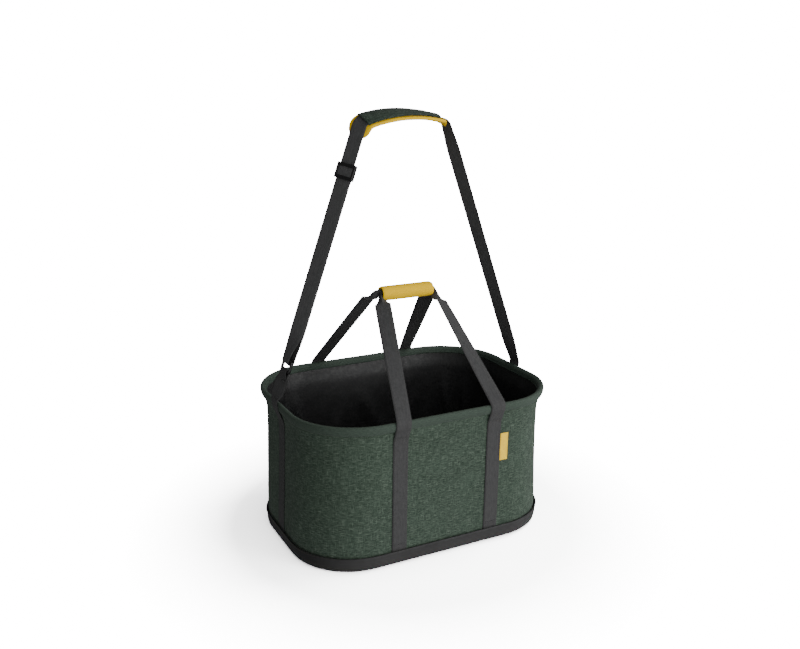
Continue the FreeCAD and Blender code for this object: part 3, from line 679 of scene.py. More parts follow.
def base_tray():
    floor = ring_at(*BOTTOM, -0.0040, 0.0)
    rings = [shrunk(floor, share, 0.0) for share in (0.03, 0.5, 0.97)] + [floor]
    rings += [ring_at(*BOTTOM, out, z) for out, z in
              ((-0.0012, 0.0003), (0.0012, 0.0016), (0.0034, 0.0038))]
    rings += [tray_ring(z) for z in (0.0072, 0.0115, 0.017, 0.023, 0.0275)]
    rings += [tray_ring(z, out) for z, out in
              ((0.0288, 0.0001), (0.0297, 0.0006), (0.0309, 0.0009), (0.0321, 0.0008),
               (0.0330, 0.0002), (0.0333, -0.0008), (0.0331, -0.0018), (0.0322, -0.0024))]
    rings += [tray_ring(z, -TRAY_WALL) for z in (0.030, 0.020, 0.010)]
    rings += [ring_at(*BOTTOM, -0.0025, 0.0045), ring_at(*BOTTOM, -0.0050, TRAY_WALL)]
    rings += [shrunk(rings[-1], share, TRAY_WALL) for share in (0.9, 0.5, 0.03)]
    profile = running_length([ring[0] for ring in rings])
    mesh = swept("base_tray_skin", rings, profile, AROUND, sharp=60)
    piece("tray_moulding", mesh, TRAY_LOOK, "basket", ["base_tray"])


base_tray()

# ---- walls

HIDDEN_TOP = CROWN + 0.0070  # inside the binding
FLARE = 0.2
HEIGHTS = [mix(FOOT, HIDDEN_TOP, i / 52) for i in range(53)]


def wall_columns(inset, height, proud=None):
    """A ring of the wall at an inset from its outside; proud adds to each column outwards."""
    out = max(0.0, height - CROWN) * FLARE - inset
    columns = outline(*level_at(min(height, CROWN), WALL_LEVELS))
    return [beside(column, out + (proud(AROUND[k] / PERIMETER, height) if proud else 0.0), height)
            for k, column in enumerate(columns)]


def wall_layer(name, outer, inner, outer_proud=None, inner_proud=None, columns=None):
    """One layer of the wall as a closed skin, all the way round or over some columns."""
    rings = [wall_columns(outer, z, outer_proud) for z in HEIGHTS]
    rings += [wall_columns(inner, z, inner_proud) for z in reversed(HEIGHTS)]
    profiles = [list(column) for column in zip(*rings)]
    around = HEIGHTS + [2 * HIDDEN_TOP - z for z in reversed(HEIGHTS)]
    around.append(around[-1] + outer - inner)
    if columns is None:
        return swept(name, profiles, AROUND, around, closed=True)
    return swept(name, [profiles[k % COLUMNS] for k in columns],
                 [AROUND[k % COLUMNS] + PERIMETER * (k // COLUMNS) for k in columns], around)


def parted(mesh, side):
    """Pulls a panel's ends back from the end seams."""
    for vertex in mesh.vertices:
        if vertex.co.y * side < PANEL_SEAM / 2:
            vertex.co.y = side * PANEL_SEAM / 2
    return mesh


HALF = COLUMNS // 2
for label, side, columns in (("shell_back", 1, range(HALF + 1)),
                             ("shell_front", -1, range(HALF, COLUMNS + 1))):
    panel = parted(wall_layer(label + "_panel", 0.0, SHELL, slack, slack, columns), side)
    piece(label + "_panel", panel, GREEN, "basket", [label])

foam_mesh = wall_layer("foam_sheet", SHELL + 0.0001, SHELL + FOAM - 0.0001)
piece("wall_foam_sheet", foam_mesh, FOAM_LOOK, "basket", ["wall_foam"])

# Soft folds in the lining: (share round, width, lowest, highest, depth, lean)
FOLDS = ((0.365, 0.0050, 0.05, 0.25, 0.0068, 0.010), (0.378, 0.0040, 0.02, 0.21, 0.0055, -0.012),
         (0.350, 0.0060, 0.10, 0.27, 0.0050, 0.022), (0.300, 0.0090, 0.04, 0.20, 0.0044, -0.030),
         (0.235, 0.0110, 0.06, 0.24, 0.0048, 0.050), (0.190, 0.0100, 0.03, 0.22, 0.0040, -0.045),
         (0.120, 0.0060, 0.04, 0.26, 0.0058, 0.016), (0.095, 0.0050, 0.08, 0.24, 0.0045, -0.010),
         (0.020, 0.0080, 0.05, 0.20, 0.0036, 0.020), (0.480, 0.0070, 0.03, 0.24, 0.0045, -0.018),
         (0.560, 0.0080, 0.06, 0.25, 0.0042, 0.015), (0.640, 0.0070, 0.03, 0.20, 0.0040, -0.020),
         (0.760, 0.0100, 0.05, 0.22, 0.0036, 0.030), (0.870, 0.0060, 0.04, 0.25, 0.0048, -0.014))


def folds_inside(share, height):
    """How far the lining's face stands off the wall, as a negative (inward) amount."""
    rise = min(1.0, max(0.0, (height - FOOT) / (CROWN - FOOT)))
    inward = 0.0009 * sin(pi * rise) * (1 + sin(40 * share + 5 * rise))
    for middle, width, low, high, depth, lean in FOLDS:
        t = (height - low) / (high - low)
        if 0 < t < 1:
            off = (share - middle - lean * (t - 0.5) + 0.5) % 1.0 - 0.5
            inward += depth * sin(pi * t) ** 1.5 * exp(-(off / width) ** 2)
    return -inward


lining_mesh = wall_layer("lining_skin", SHELL + FOAM, SHELL + FOAM + LINING, None, folds_inside)
piece("lining_wall_cloth", lining_mesh, BLACK, "basket", ["lining_wall"])


def lining_floor():
    """The floor panel: flat below, softly dished and rippled above, with a rolled edge."""
    low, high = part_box("lining_floor")
    corner = WALL_LEVELS[0][3] - (WALL_LEVELS[0][1] - high.x)
    rings = [ring_at(high.x, high.y, corner, out, z) for out, z in
             ((-0.004, low.z), (-0.0006, low.z + 0.0001), (0.0, low.z + 0.0008), (-0.0006, high.z + 0.0010),
              (-0.0024, high.z + 0.0022), (-0.0050, high.z + 0.0018), (-0.0080, high.z + 0.0004))]
    below = [shrunk(rings[0], share, low.z) for share in (0.03, 0.5, 0.95)]
    above = []
    for share in (0.95, 0.9, 0.84, 0.77, 0.7, 0.62, 0.54, 0.46, 0.37, 0.28, 0.19, 0.1, 0.03):
        above.append([Vector((p.x * share, p.y * share,
                              high.z + 0.0006 + 0.0005 * sin(31 * p.x * share + 2)
                              * cos(38 * p.y * share)))
                      for p in rings[-1]])
    rings = below + rings + above
    lengths = running_length([ring[0] for ring in rings])
    mesh = swept("lining_floor_skin", rings, lengths, AROUND)
    for loop, uv in zip(mesh.loops, mesh.uv_layers[0].data):
        uv.uv = mesh.vertices[loop.vertex_index].co.xy
    piece("lining_floor_cloth", mesh, BLACK, "basket", ["lining_floor"])


lining_floor()

# ---- rim


def closed_curve(points, steps):
    """A smooth closed curve through points in the plane."""
    count, curve = len(points), []
    for i in range(count):
        p = [np.array(points[(i + k) % count]) for k in (-1, 0, 1, 2)]
        for k in range(steps):
            t = k / steps
            curve.append(0.5 * (2 * p[1] + (p[2] - p[0]) * t
                                + (2 * p[0] - 5 * p[1] + 4 * p[2] - p[3]) * t * t
                                + (3 * p[1] - p[0] - 3 * p[2] + p[3]) * t ** 3))
    return [(float(a), float(b)) for a, b in curve]


ROLL_MIDDLE, ROLL_WAVES, ROLL_SWELL = 0.006, 9, 0.025


def binding():
    """The padded roll round the rim, with a row of stitches outside and one inside."""
    curve = closed_curve(BINDING, 4)
    columns = outline(*RIM)
    profiles = []
    for k, column in enumerate(columns):
        swell = 1 + ROLL_SWELL * sin(2 * pi * ROLL_WAVES * AROUND[k] / PERIMETER)
        profiles.append([beside(column, ROLL_MIDDLE + (out - ROLL_MIDDLE) * swell, z)
                         for out, z in curve])
    mesh = swept("binding_skin", profiles, AROUND, round_length(curve), closed=True, sharp=70)
    piece("rim_binding_roll", mesh, BINDING_TAPE, "basket", ["rim_binding"])
    runs = []
    for out, z, way in ((0.01045, 0.2885, 1), (-0.00085, 0.2925, -1)):
        line = [beside(column, out, z) for column in columns]
        facing = [Vector((p * way, q * way, 0)) for x, y, p, q in columns]
        runs += dashes(line + line[:1], facing + facing[:1])
    sewn_piece("rim_binding_stitches", runs, GREEN_THREAD, "basket")


binding()

# ---- webbing on the walls

HALF_WEB = WEBBING_THICKNESS / 2
# A strap's line: (out, height) under the tray's lip, the part that follows the wall, and over
# the rim. Its edges are sewn between two heights.
STRAP_FOOT = ((-0.0004, 0.0265), (0.0, 0.0335))
STRAP_LOW, STRAP_HIGH, STRAP_STEP = 0.040, 0.265, 0.008
STRAP_OVER_RIM = ((0.0089, 0.2835), (0.0126, 0.2905), (0.0132, 0.2965))
SEWN_FROM, SEWN_TO, SEAM_INSET = 0.034, 0.284, 0.0026
SLOPE_STEP = 0.002


def wall_line(axis, side, place):
    """The middle of a strap up one wall, from under the tray's lip to the rim: (out, height)."""
    index = 0 if axis == "x" else 1
    share = share_at(place, axis, side)
    lift = SEWN_GAP + HALF_WEB
    hem = level_at(WALL_LEVELS[1][0], WALL_LEVELS)[index]
    line = [(hem + lift + out, z) for out, z in STRAP_FOOT]
    height = STRAP_LOW
    while height < STRAP_HIGH:
        out = level_at(height, WALL_LEVELS)[index] + slack(share, height)
        line.append((out + lift, height))
        height += STRAP_STEP
    return line + [(RIM[index] + out + HALF_WEB, z) for out, z in STRAP_OVER_RIM]


def on_wall(axis, side, place, out, height):
    return Vector((side * out, place, height)) if axis == "x" else Vector((place, side * out, height))


def edge_stitches(axis, side, place):
    """Thread along both edges of a wall strap, and the way it faces."""
    runs = []
    inset = WEBBING_WIDTH / 2 - SEAM_INSET
    facing = Vector((side, 0, 0)) if axis == "x" else Vector((0, side, 0))
    line = [(out, z) for out, z in wall_line(axis, side, place) if SEWN_FROM < z < SEWN_TO]
    for edge in (-inset, inset):
        points = resampled([on_wall(axis, side, place + edge, out + HALF_WEB, z) for out, z in line],
                           0.004)
        runs += dashes(points, [facing] * len(points))
    return runs


TACK_HEIGHTS = (0.0461, 0.2711)
TACK_WIDTH, TACK_SIZE, TACK_STITCHES = 0.026, 0.0022, 26


def satin_tack(middle, across, upward, outward):
    """A bar tack: close upright stitches side by side."""
    runs = []
    for i in range(TACK_STITCHES + 1):
        place = middle + across * (TACK_WIDTH * (i / TACK_STITCHES - 0.5))
        shift = 0.00018 * (1 if i % 2 else -1)
        runs.append((place - upward * (TACK_SIZE / 2 + shift),
                     place + upward * (TACK_SIZE / 2 - shift), outward))
    return runs


def out_at(line, height):
    return float(np.interp(height, [z for _, z in line], [out for out, _ in line]))


WALL_STRAPS = [("y", SIDES[face], place) for (face, hand), place in STRAP_PLACES.items()]
WALL_STRAPS += [("x", -1, 0.0), ("x", 1, 0.0)]
tack_runs, edge_runs = [], []
for axis, side, place in WALL_STRAPS:
    edge_runs += edge_stitches(axis, side, place)
    if axis == "y":
        line = wall_line(axis, side, place)
        for height in TACK_HEIGHTS:
            middle = on_wall(axis, side, place, out_at(line, height) + HALF_WEB, height)
            slope = out_at(line, height + SLOPE_STEP) - out_at(line, height - SLOPE_STEP)
            upward = Vector((0, side * slope, 2 * SLOPE_STEP)).normalized()
            tack_runs += satin_tack(middle, ALONG, upward, Vector((0, side, 0)))
sewn_piece("bar_tacks", tack_runs, THREAD, "basket", ["strap_bar_tacks"])
sewn_piece("wall_strap_stitches", edge_runs, THREAD, "basket")

# ---- carry handles

FOLD_GAP = 0.003
CREASE_LIFT = 0.0072
FULL_FOLD = radians(87)
# How far past the grip each leg turns, the length over which it folds, and how far it has
# twisted by then, in degrees.
LEG_SHAPES = {("front", "left"): (0.002, 0.024, -29), ("front", "right"): (0.003, 0.028, 34),
              ("back", "left"): (0.013, 0.014, 0), ("back", "right"): (0.002, 0.010, -42)}
LEG_INSIDE = 0.012  # how far each leg goes into the grip
LEG_STEP, ROOT_CUT, TURN_CUT = 0.003, 0.003, 0.009
FOLD_LEAD = 0.006  # how far before the turn into the grip a leg is fully folded
UPRIGHT_LEAD, UPRIGHT_LENGTH = 0.002, 0.022
ROOT_HEIGHT = PIVOT.z - 0.0004


def framed(line, across, fold_at=None, upright_at=None, roll_at=None):
    """Stations that carry a width's direction along a line without twist; fold_at gives the
    fold at each, roll_at turns it about the line in degrees, and upright_at says how far the
    outer side has turned to face upward."""
    stations = []
    before = None
    for i, point in enumerate(line):
        along = (line[min(i + 1, len(line) - 1)] - line[max(i - 1, 0)]).normalized()
        if before is not None:
            across = before.rotation_difference(along) @ across
        across = (across - along * across.dot(along)).normalized()
        before = along
        facing = across
        if roll_at:
            turn = radians(roll_at(i))
            facing = across * cos(turn) + along.cross(across) * sin(turn)
        if upright_at and upright_at(i) > 0:
            wanted = along.cross(UP).normalized()
            facing = facing.lerp(wanted, upright_at(i)).normalized()
        stations.append(Station(point, along, facing, fold_at(i) if fold_at else 0.0))
    return stations


def handle_strap(face, hand):
    """One wall strap and the leg that goes on from it, folded lengthwise into the grip."""
    side, way, place = SIDES[face], WAYS[hand], STRAP_PLACES[face, hand]
    turn_out, fold_length, twist = LEG_SHAPES[face, hand]
    wall = [on_wall("y", side, place, out, z) for out, z in wall_line("y", side, place)]
    root = Vector((place, side * (abs(PIVOT.y) - 0.0012), ROOT_HEIGHT))
    crease = Vector((0, GRIP.y + side * FOLD_GAP, GRIP.z + CREASE_LIFT))
    turn = crease + Vector((GRIP.x + way * (GRIP_HALF + turn_out), 0, 0))
    inside = crease + Vector((GRIP.x + way * (GRIP_HALF - LEG_INSIDE), 0, 0))
    line = resampled(rounded(wall + [root, turn, inside],
                             [ROOT_CUT] * (len(wall) - 1) + [TURN_CUT, TURN_CUT], 8), LEG_STEP)
    lengths = running_length(line)
    corner = lengths[min(range(len(line)), key=lambda i: (line[i] - turn).length)]
    start = lengths[min(range(len(line)), key=lambda i: (line[i] - root).length)]

    def fold_at(i):
        opened = (corner - lengths[i] - FOLD_LEAD) / fold_length
        return FULL_FOLD * acos(min(1.0, max(0.0, opened))) / radians(90)

    def roll_at(i):
        return twist * min(1.0, max(0.0, (lengths[i] - start) / (corner - start)))

    def upright_at(i):
        return smooth(1 - (corner - lengths[i] + UPRIGHT_LEAD) / UPRIGHT_LENGTH)

    stations = framed(line, Vector((-side, 0, 0)), fold_at, upright_at, roll_at)
    strap = web_piece(f"{face}_strap_{hand}", stations, WEB, None,
                      [f"{face}_wall_strap_{hand}", f"{face}_handle_leg_{hand}"])
    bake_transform(strap)


def handle_fold(face, side):
    """The folded webbing inside the grip."""
    reach = GRIP_HALF - LEG_INSIDE
    line = [Vector((GRIP.x + reach * (i / 12 - 1), GRIP.y + side * FOLD_GAP, GRIP.z + CREASE_LIFT))
            for i in range(25)]
    web_piece(f"{face}_folded_webbing", framed(line, ACROSS, lambda i: FULL_FOLD), WEB,
              f"{face}_handle", [f"{face}_handle_fold"])


for face in SIDES:
    handle_fold(face, SIDES[face])
    for hand in WAYS:
        handle_strap(face, hand)

# ---- soft padding


def evaluated_mesh(obj):
    graph = bpy.context.evaluated_depsgraph_get()
    return bpy.data.meshes.new_from_object(obj.evaluated_get(graph))


def settle(obj, mesh):
    """Replaces an object's mesh and clears its modifiers."""
    material = obj.data.materials[0]
    obj.modifiers.clear()
    obj.data = mesh
    mesh.materials.clear()
    mesh.materials.append(material)
    mesh.shade_smooth()


CLOTH_FRAMES, CLOTH_PRESSURE = 20, 4.0


def inflate(obj, voxel, limit, held):
    """Swells a padded piece by cloth simulation, up to a limit; held(point) is how firmly a
    point stays put."""
    remesh = obj.modifiers.new("remesh", "REMESH")
    remesh.mode = "VOXEL"
    remesh.voxel_size = voxel
    settle(obj, evaluated_mesh(obj))
    rest = np.array([v.co for v in obj.data.vertices])
    hold = np.array([held(Vector(p)) for p in rest])
    group = obj.vertex_groups.new(name="held")
    for i, weight in enumerate(hold):
        group.add([i], float(weight), "REPLACE")
    cloth = obj.modifiers.new("cloth", "CLOTH")
    cloth.settings.use_pressure = True
    cloth.settings.uniform_pressure_force = CLOTH_PRESSURE
    cloth.settings.effector_weights.gravity = 0.0
    cloth.settings.vertex_group_mass = "held"
    cloth.settings.quality = 4
    cloth.point_cache.frame_start, cloth.point_cache.frame_end = 1, CLOTH_FRAMES
    for number in range(1, CLOTH_FRAMES + 1):
        bpy.context.scene.frame_set(number)
    moved = np.array([v.co for v in evaluated_mesh(obj).vertices])
    obj.modifiers.clear()
    bpy.context.scene.frame_set(1)
    shift = moved - rest
    shift[~np.isfinite(shift)] = 0.0
    size = np.linalg.norm(shift, axis=1, keepdims=True)
    shift *= np.minimum(1.0, limit / np.maximum(size, 1e-9)) * (1 - hold[:, None])
    obj.data.vertices.foreach_set("co", (rest + shift).astype(np.float32).ravel())
    obj.vertex_groups.clear()
    relax = obj.modifiers.new("relax", "SMOOTH")
    relax.factor, relax.iterations = 0.5, 4
    finer = obj.modifiers.new("finer", "SUBSURF")
    finer.levels = finer.render_levels = 1
    settle(obj, evaluated_mesh(obj))


# The grip's outer radius before it swells and how far it may swell, its ends' radius and
# thickness, how far each half stays back from the seam, the lengths over which its ends and
# edges are rounded, and the margins that the simulation holds still.
GRIP_START, GRIP_SWELL = 0.0150, 0.0016
GRIP_END, GRIP_END_THICK = 0.0128, 0.0022
GRIP_GAP, GRIP_GAP_TURN = 0.0003, 1.5
END_ROUND, EDGE_ROUND = 0.006, 0.004
HOLD_INNER, HOLD_SEAM, HOLD_END = 0.0012, 0.004, 0.003
GRIP_VOXEL = 0.0016


def round_grip(x, side, gap, radius, turn):
    """A point at a radius from the grip's middle, turned from its top towards one side."""
    return Vector((x, GRIP.y + side * (gap + radius * sin(turn)), GRIP.z + radius * cos(turn)))


def grip_half(label, side, body, node):
    """Half of the grip: a padded sleeve split along its top and bottom."""
    steps = 30
    lengths = [GRIP.x + GRIP_HALF * (2 * (i / steps) - 1) for i in range(steps + 1)]
    rings = []
    for x in lengths:
        end = min(1.0, (GRIP_HALF - abs(x - GRIP.x)) / END_ROUND)
        thick = mix(GRIP_END_THICK, GRIP_START - GRIP_BORE, sqrt(max(0.0, 1 - (1 - end) ** 2)))
        middle = mix(GRIP_END, (GRIP_START + GRIP_BORE) / 2, end)
        ring = []
        for k in range(27):
            a = k / 26
            edge = min(a, 1 - a) * pi * middle
            part = sqrt(max(0.0, 1 - (1 - min(1.0, edge / EDGE_ROUND)) ** 2))
            ring.append((a, middle + thick * (0.15 + 0.85 * part) / 2))
        ring += [(k / 26, middle - thick / 2) for k in range(26, -1, -1)]
        rings.append([round_grip(x, side, GRIP_GAP, radius, radians(GRIP_GAP_TURN)
                                 + a * radians(180 - 2 * GRIP_GAP_TURN)) for a, radius in ring])
    around = running_length(rings[steps // 2], True)
    obj = piece(label, swept(label, rings, lengths, around), YELLOW, body, [node])

    def held(point):
        radius = hypot(point.y - GRIP.y, point.z - GRIP.z)
        inner = 1.0 if radius < GRIP_BORE + HOLD_INNER else 0.0
        seam = 1 - smooth(abs(point.y - GRIP.y) / HOLD_SEAM)
        end = 1 - smooth((GRIP_HALF - abs(point.x - GRIP.x)) / HOLD_END)
        return max(inner, seam, end)

    inflate(obj, GRIP_VOXEL, GRIP_SWELL, held)


grip_half("grip_back_half", 1, "back_handle", "grip_wrap")
grip_half("grip_front_half", -1, "grip_flap", "grip_flap")

STRIP_START, STRIP_SWEEP, STRIP_HALF, STRIP_GAP = 120, 55, 0.049, 0.0002
STRIP_BACK, STRIP_FACE, NAP = GRIP_BORE - 0.00015, GRIP_BORE - 0.0009, 0.00022


def fastener_strip(label, side, body, node):
    """Touch fastener inside the grip's opening edge, with its nap standing up."""
    lengths = [GRIP.x + STRIP_HALF * (i / 40 - 1) for i in range(81)]
    rings = []
    for i, x in enumerate(lengths):
        ring = []
        for radius, order in ((STRIP_BACK, range(15)), (STRIP_FACE, range(14, -1, -1))):
            for k in order:
                turn = radians(STRIP_START + STRIP_SWEEP * k / 14)
                nap = NAP * sin(i * 2.3 + k * 4.1) if radius == STRIP_FACE else 0
                ring.append(round_grip(x, side, STRIP_GAP, radius + nap, turn))
        rings.append(ring)
    mesh = swept(label, rings, lengths, running_length(rings[0], True), sharp=60)
    piece(label, mesh, FASTENER, body, [node])


fastener_strip("loop_tape", 1, "back_handle", "fastener_loop_strip")
fastener_strip("hook_tape", -1, "grip_flap", "fastener_hook_strip")

# ---- shoulder strap

def leaning(angle):
    """A direction in the strap's plane, leaning from upright towards +X, in degrees."""
    return Vector((sin(radians(angle)), 0, cos(radians(angle))))


TAB_WAY, RING_WAY = leaning(23), leaning(21)
TAB_LENGTH, RING_LENGTH = 0.066, 0.020
TAB_ROOT = LOWER_BAR - TAB_WAY * TAB_LENGTH
UPPER_BAR = LOWER_BAR + RING_WAY * RING_LENGTH
RIGHT_ROOT = Vector((0.282, 0, 0.3068))
CREST_MIDDLE, CREST_RADIUS, CREST_HALF = Vector((0.003, 0, 0.5515)), 0.300, 0.080
TURN_RADIUS = 0.022
CREST_ANGLE = degrees(asin(CREST_HALF / CREST_RADIUS))
# How far the webbing is rolled about its own line, in degrees, and where the rolls change.
LEG_ROLL, LEFT_CREST_ROLL, RIGHT_CREST_ROLL = 36, 30, 5
RIGHT_TOP_ROLL, RIGHT_LEG_ROLL, RIGHT_FOOT_ROLL = -8, -24, -6
TWIST, RIGHT_TWIST, SETTLE = 0.075, 0.062, 0.060
LOOP_RADIUS, RETURN_DEPTH = 0.0064, 0.0043
SLIDER_PLACE, SEWN_END = 0.381, 0.022


def turn_at(side, root):
    """The tight turn at one end of the crest: its centre and the angle where the leg leaves."""
    turn_centre = CREST_MIDDLE + leaning(side * CREST_ANGLE) * (CREST_RADIUS - TURN_RADIUS)
    reach = root - turn_centre
    base = degrees(atan2(side * reach.x, reach.z))
    return turn_centre, base - degrees(acos(TURN_RADIUS / reach.length))


LEFT_CENTRE, LEFT_LEAVE = turn_at(-1, UPPER_BAR)
RIGHT_CENTRE, RIGHT_LEAVE = turn_at(1, RIGHT_ROOT)
LEFT_TOP = LEFT_CENTRE + leaning(-LEFT_LEAVE) * TURN_RADIUS
RIGHT_TOP = RIGHT_CENTRE + leaning(RIGHT_LEAVE) * TURN_RADIUS
LEFT_WAY = (LEFT_TOP - UPPER_BAR).normalized()
RIGHT_WAY = (RIGHT_ROOT - RIGHT_TOP).normalized()
LEFT_LENGTH, RIGHT_LENGTH = (LEFT_TOP - UPPER_BAR).length, (RIGHT_ROOT - RIGHT_TOP).length


def rolled(middle, along, angle, out=0.0):
    """A station whose width is turned about the strap from straight across the basket."""
    along = along.normalized()
    turn = radians(angle)
    across = ACROSS * cos(turn) + along.cross(ACROSS) * sin(turn)
    return Station(middle, along, across, out=out)


def arc_part(middle, radius, start, end, roll_start, roll_end, steps):
    """Points and rolls round an arc in the strap's plane."""
    return [(middle + leaning(mix(start, end, i / steps)) * radius, mix(roll_start, roll_end, i / steps))
            for i in range(steps + 1)]


left_turn = arc_part(LEFT_CENTRE, TURN_RADIUS, -LEFT_LEAVE, -CREST_ANGLE, LEG_ROLL, LEFT_CREST_ROLL, 14)
crest = arc_part(CREST_MIDDLE, CREST_RADIUS, -CREST_ANGLE, CREST_ANGLE, LEFT_CREST_ROLL,
                 RIGHT_CREST_ROLL, 40)
right_turn = arc_part(RIGHT_CENTRE, TURN_RADIUS, CREST_ANGLE, RIGHT_LEAVE, RIGHT_CREST_ROLL,
                      RIGHT_TOP_ROLL, 14)


def left_leg(distance):
    return UPPER_BAR + LEFT_WAY * distance


def leg_rolls(start, end, steps=30):
    """The left leg from one distance above the ring to another, at its full roll."""
    return [(left_leg(mix(start, end, i / steps)), LEG_ROLL) for i in range(steps + 1)]


def right_rolls(start, end, steps=30):
    """The right leg from one distance below its top to another."""
    part = []
    for i in range(steps + 1):
        distance = mix(start, end, i / steps)
        roll = mix(RIGHT_TOP_ROLL, RIGHT_LEG_ROLL, smooth(distance / SETTLE))
        left = RIGHT_LENGTH - distance
        if left < RIGHT_TWIST:
            roll = mix(RIGHT_FOOT_ROLL, RIGHT_LEG_ROLL, smooth(left / RIGHT_TWIST))
        part.append((RIGHT_TOP + RIGHT_WAY * distance, roll))
    return part


def rolled_line(parts, step=0.004, out=0.0):
    """Even stations along joined parts of (point, roll)."""
    points = [parts[0][0]]
    rolls = [parts[0][1]]
    for point, roll in parts[1:]:
        if (point - points[-1]).length > 1e-5:
            points.append(point)
            rolls.append(roll)
    line, even = resampled(points, step, rolls)
    stations = []
    for i, point in enumerate(line):
        along = line[min(i + 1, len(line) - 1)] - line[max(i - 1, 0)]
        stations.append(rolled(point, along, even[i], out))
    return stations


def twist_layer(side, depth):
    """One layer of the doubled strap from the ring to where it stops twisting."""
    return [rolled(left_leg(TWIST * share), LEFT_WAY, LEG_ROLL * smooth(share),
                   side * mix(LOOP_RADIUS, depth, smooth(share)))
            for share in [i / 24 for i in range(25)]]


def round_bar(bar, way, outward, radius, angle):
    """A point at a radius from a bar; 0 degrees is its outer side and 90 is along way."""
    turn = radians(angle)
    return bar + outward * radius * cos(turn) + way * radius * sin(turn)


def offset_points(origin, way, outward, places):
    """The points at each (distance along way, distance outward) from an origin."""
    return [origin + way * distance + outward * out for distance, out in places]


def hairpin(bar, way, outward, radius, origin, places):
    """Webbing that comes up beside a bar, turns round it and goes back down."""
    return (offset_points(origin, way, outward, places)
            + [round_bar(bar, way, outward, radius, angle) for angle in range(0, 181, 15)]
            + offset_points(origin, way, outward, [(a, -b) for a, b in reversed(places)]))


FOOT_OUT = rolled(UPPER_BAR, LEFT_WAY, 0).outward
ring_loop = []
for angle in [-180 + 11.25 * i for i in range(16)]:
    along = LEFT_WAY * cos(radians(angle)) - FOOT_OUT * sin(radians(angle))
    place = round_bar(UPPER_BAR, LEFT_WAY, FOOT_OUT, LOOP_RADIUS, angle)
    ring_loop.append(Station(place, along, ACROSS))
right_wall = [(on_wall("x", 1, 0.0, out, z), 0) for out, z in reversed(wall_line("x", 1, 0.0))]
span = rolled_line(leg_rolls(TWIST + 0.004, LEFT_LENGTH) + left_turn[1:] + crest[1:] + right_turn[1:]
                   + right_rolls(0.004, RIGHT_LENGTH - 0.003)
                   + [(RIGHT_ROOT + Vector((-0.0016, 0, -0.0015)), RIGHT_FOOT_ROLL)] + right_wall)
BEND_START, BEND_END = (0, 0, SWING.z - 0.008), (0, 0, SWING.z + 0.048)

shoulder = web_piece("shoulder_webbing_painted_light", ring_loop + twist_layer(1, 0.0) + span, SHOULDER_WEB_PAINTED_LIGHT, None,
                     ["strap_ring_loop", "strap_left_twist", "strap_left_run", "strap_crest",
                      "strap_right_run", "strap_right_twist", "right_end_strap"])
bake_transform(shoulder)
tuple(BEND_START)
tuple(BEND_END)

return_top = SLIDER_PLACE - SEWN_END
inner = twist_layer(-1, RETURN_DEPTH) + rolled_line(leg_rolls(TWIST + 0.004, return_top),
                                                    out=-RETURN_DEPTH)
return_layer = web_piece("return_webbing", inner, SHOULDER_WEB_PAINTED_LIGHT, "shoulder_strap",
                         ["strap_return_layer"])
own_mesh(return_layer)


TAB_TURN, TAB_LOOP = 24, 0.0042
TAB_LAYER = HALF_WEB + 0.00005
TAB_TACKS = (0.047, 0.012)
# Up one side of the tab: (distance from its root, distance out), then where its two layers
# start at the root, and between which distances it is twisted.
TAB_PLACES = [(0.030, TAB_LAYER), (0.052, TAB_LAYER), (0.0585, 0.0019), (0.0625, 0.0035)]
TAB_OUTER_FOOT, TAB_INNER_FOOT = (0.004, TAB_LAYER), (0.006, -TAB_LAYER)
TWIST_FROM, TWIST_OVER, UNTWIST_FROM, UNTWIST_OVER = 0.004, 0.018, 0.044, 0.016


def tab():
    """The left end strap: up the wall, round the ring's lower bar and sewn back to itself."""
    outward = Station(TAB_ROOT, TAB_WAY, ACROSS).outward
    wall = [on_wall("x", -1, 0.0, out, z) for out, z in wall_line("x", -1, 0.0)]
    corners = wall + offset_points(TAB_ROOT, TAB_WAY, outward, [TAB_OUTER_FOOT])
    corners += hairpin(LOWER_BAR, TAB_WAY, outward, TAB_LOOP, TAB_ROOT, TAB_PLACES)
    corners += offset_points(TAB_ROOT, TAB_WAY, outward, [TAB_INNER_FOOT])
    line = resampled(rounded(corners, [0.004] * (len(corners) - 2), 5), 0.002)
    top = max(range(len(line)), key=lambda i: (line[i] - TAB_ROOT).dot(TAB_WAY))

    def turned_to_front(i):
        height = (line[i] - TAB_ROOT).dot(TAB_WAY)
        twisted = smooth((height - TWIST_FROM) / TWIST_OVER)
        straight = smooth((height - UNTWIST_FROM) / UNTWIST_OVER)
        return (TAB_TURN if i < top else -TAB_TURN) * (twisted * (1 - straight))

    stations = framed(line, ACROSS, roll_at=turned_to_front)
    strap = web_piece("left_tab_webbing", stations, WEB, None, ["left_end_strap", "ring_tab"])
    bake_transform(strap)
    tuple(BEND_START)
    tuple(BEND_END)
    runs = []
    for distance in TAB_TACKS:
        for way in (1, -1):
            middle = TAB_ROOT + TAB_WAY * distance + outward * (way * 2 * TAB_LAYER)
            runs += satin_tack(middle, -ACROSS, TAB_WAY, outward * way)
    tacks = sewn_piece("tab_tacks", runs, THREAD)
    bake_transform(tacks)
    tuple(BEND_START)
    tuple(BEND_END)


tab()


RING_OUTLINE = (0.020, RING_LENGTH / 2, 0.005)
RING_BAR = 0.003


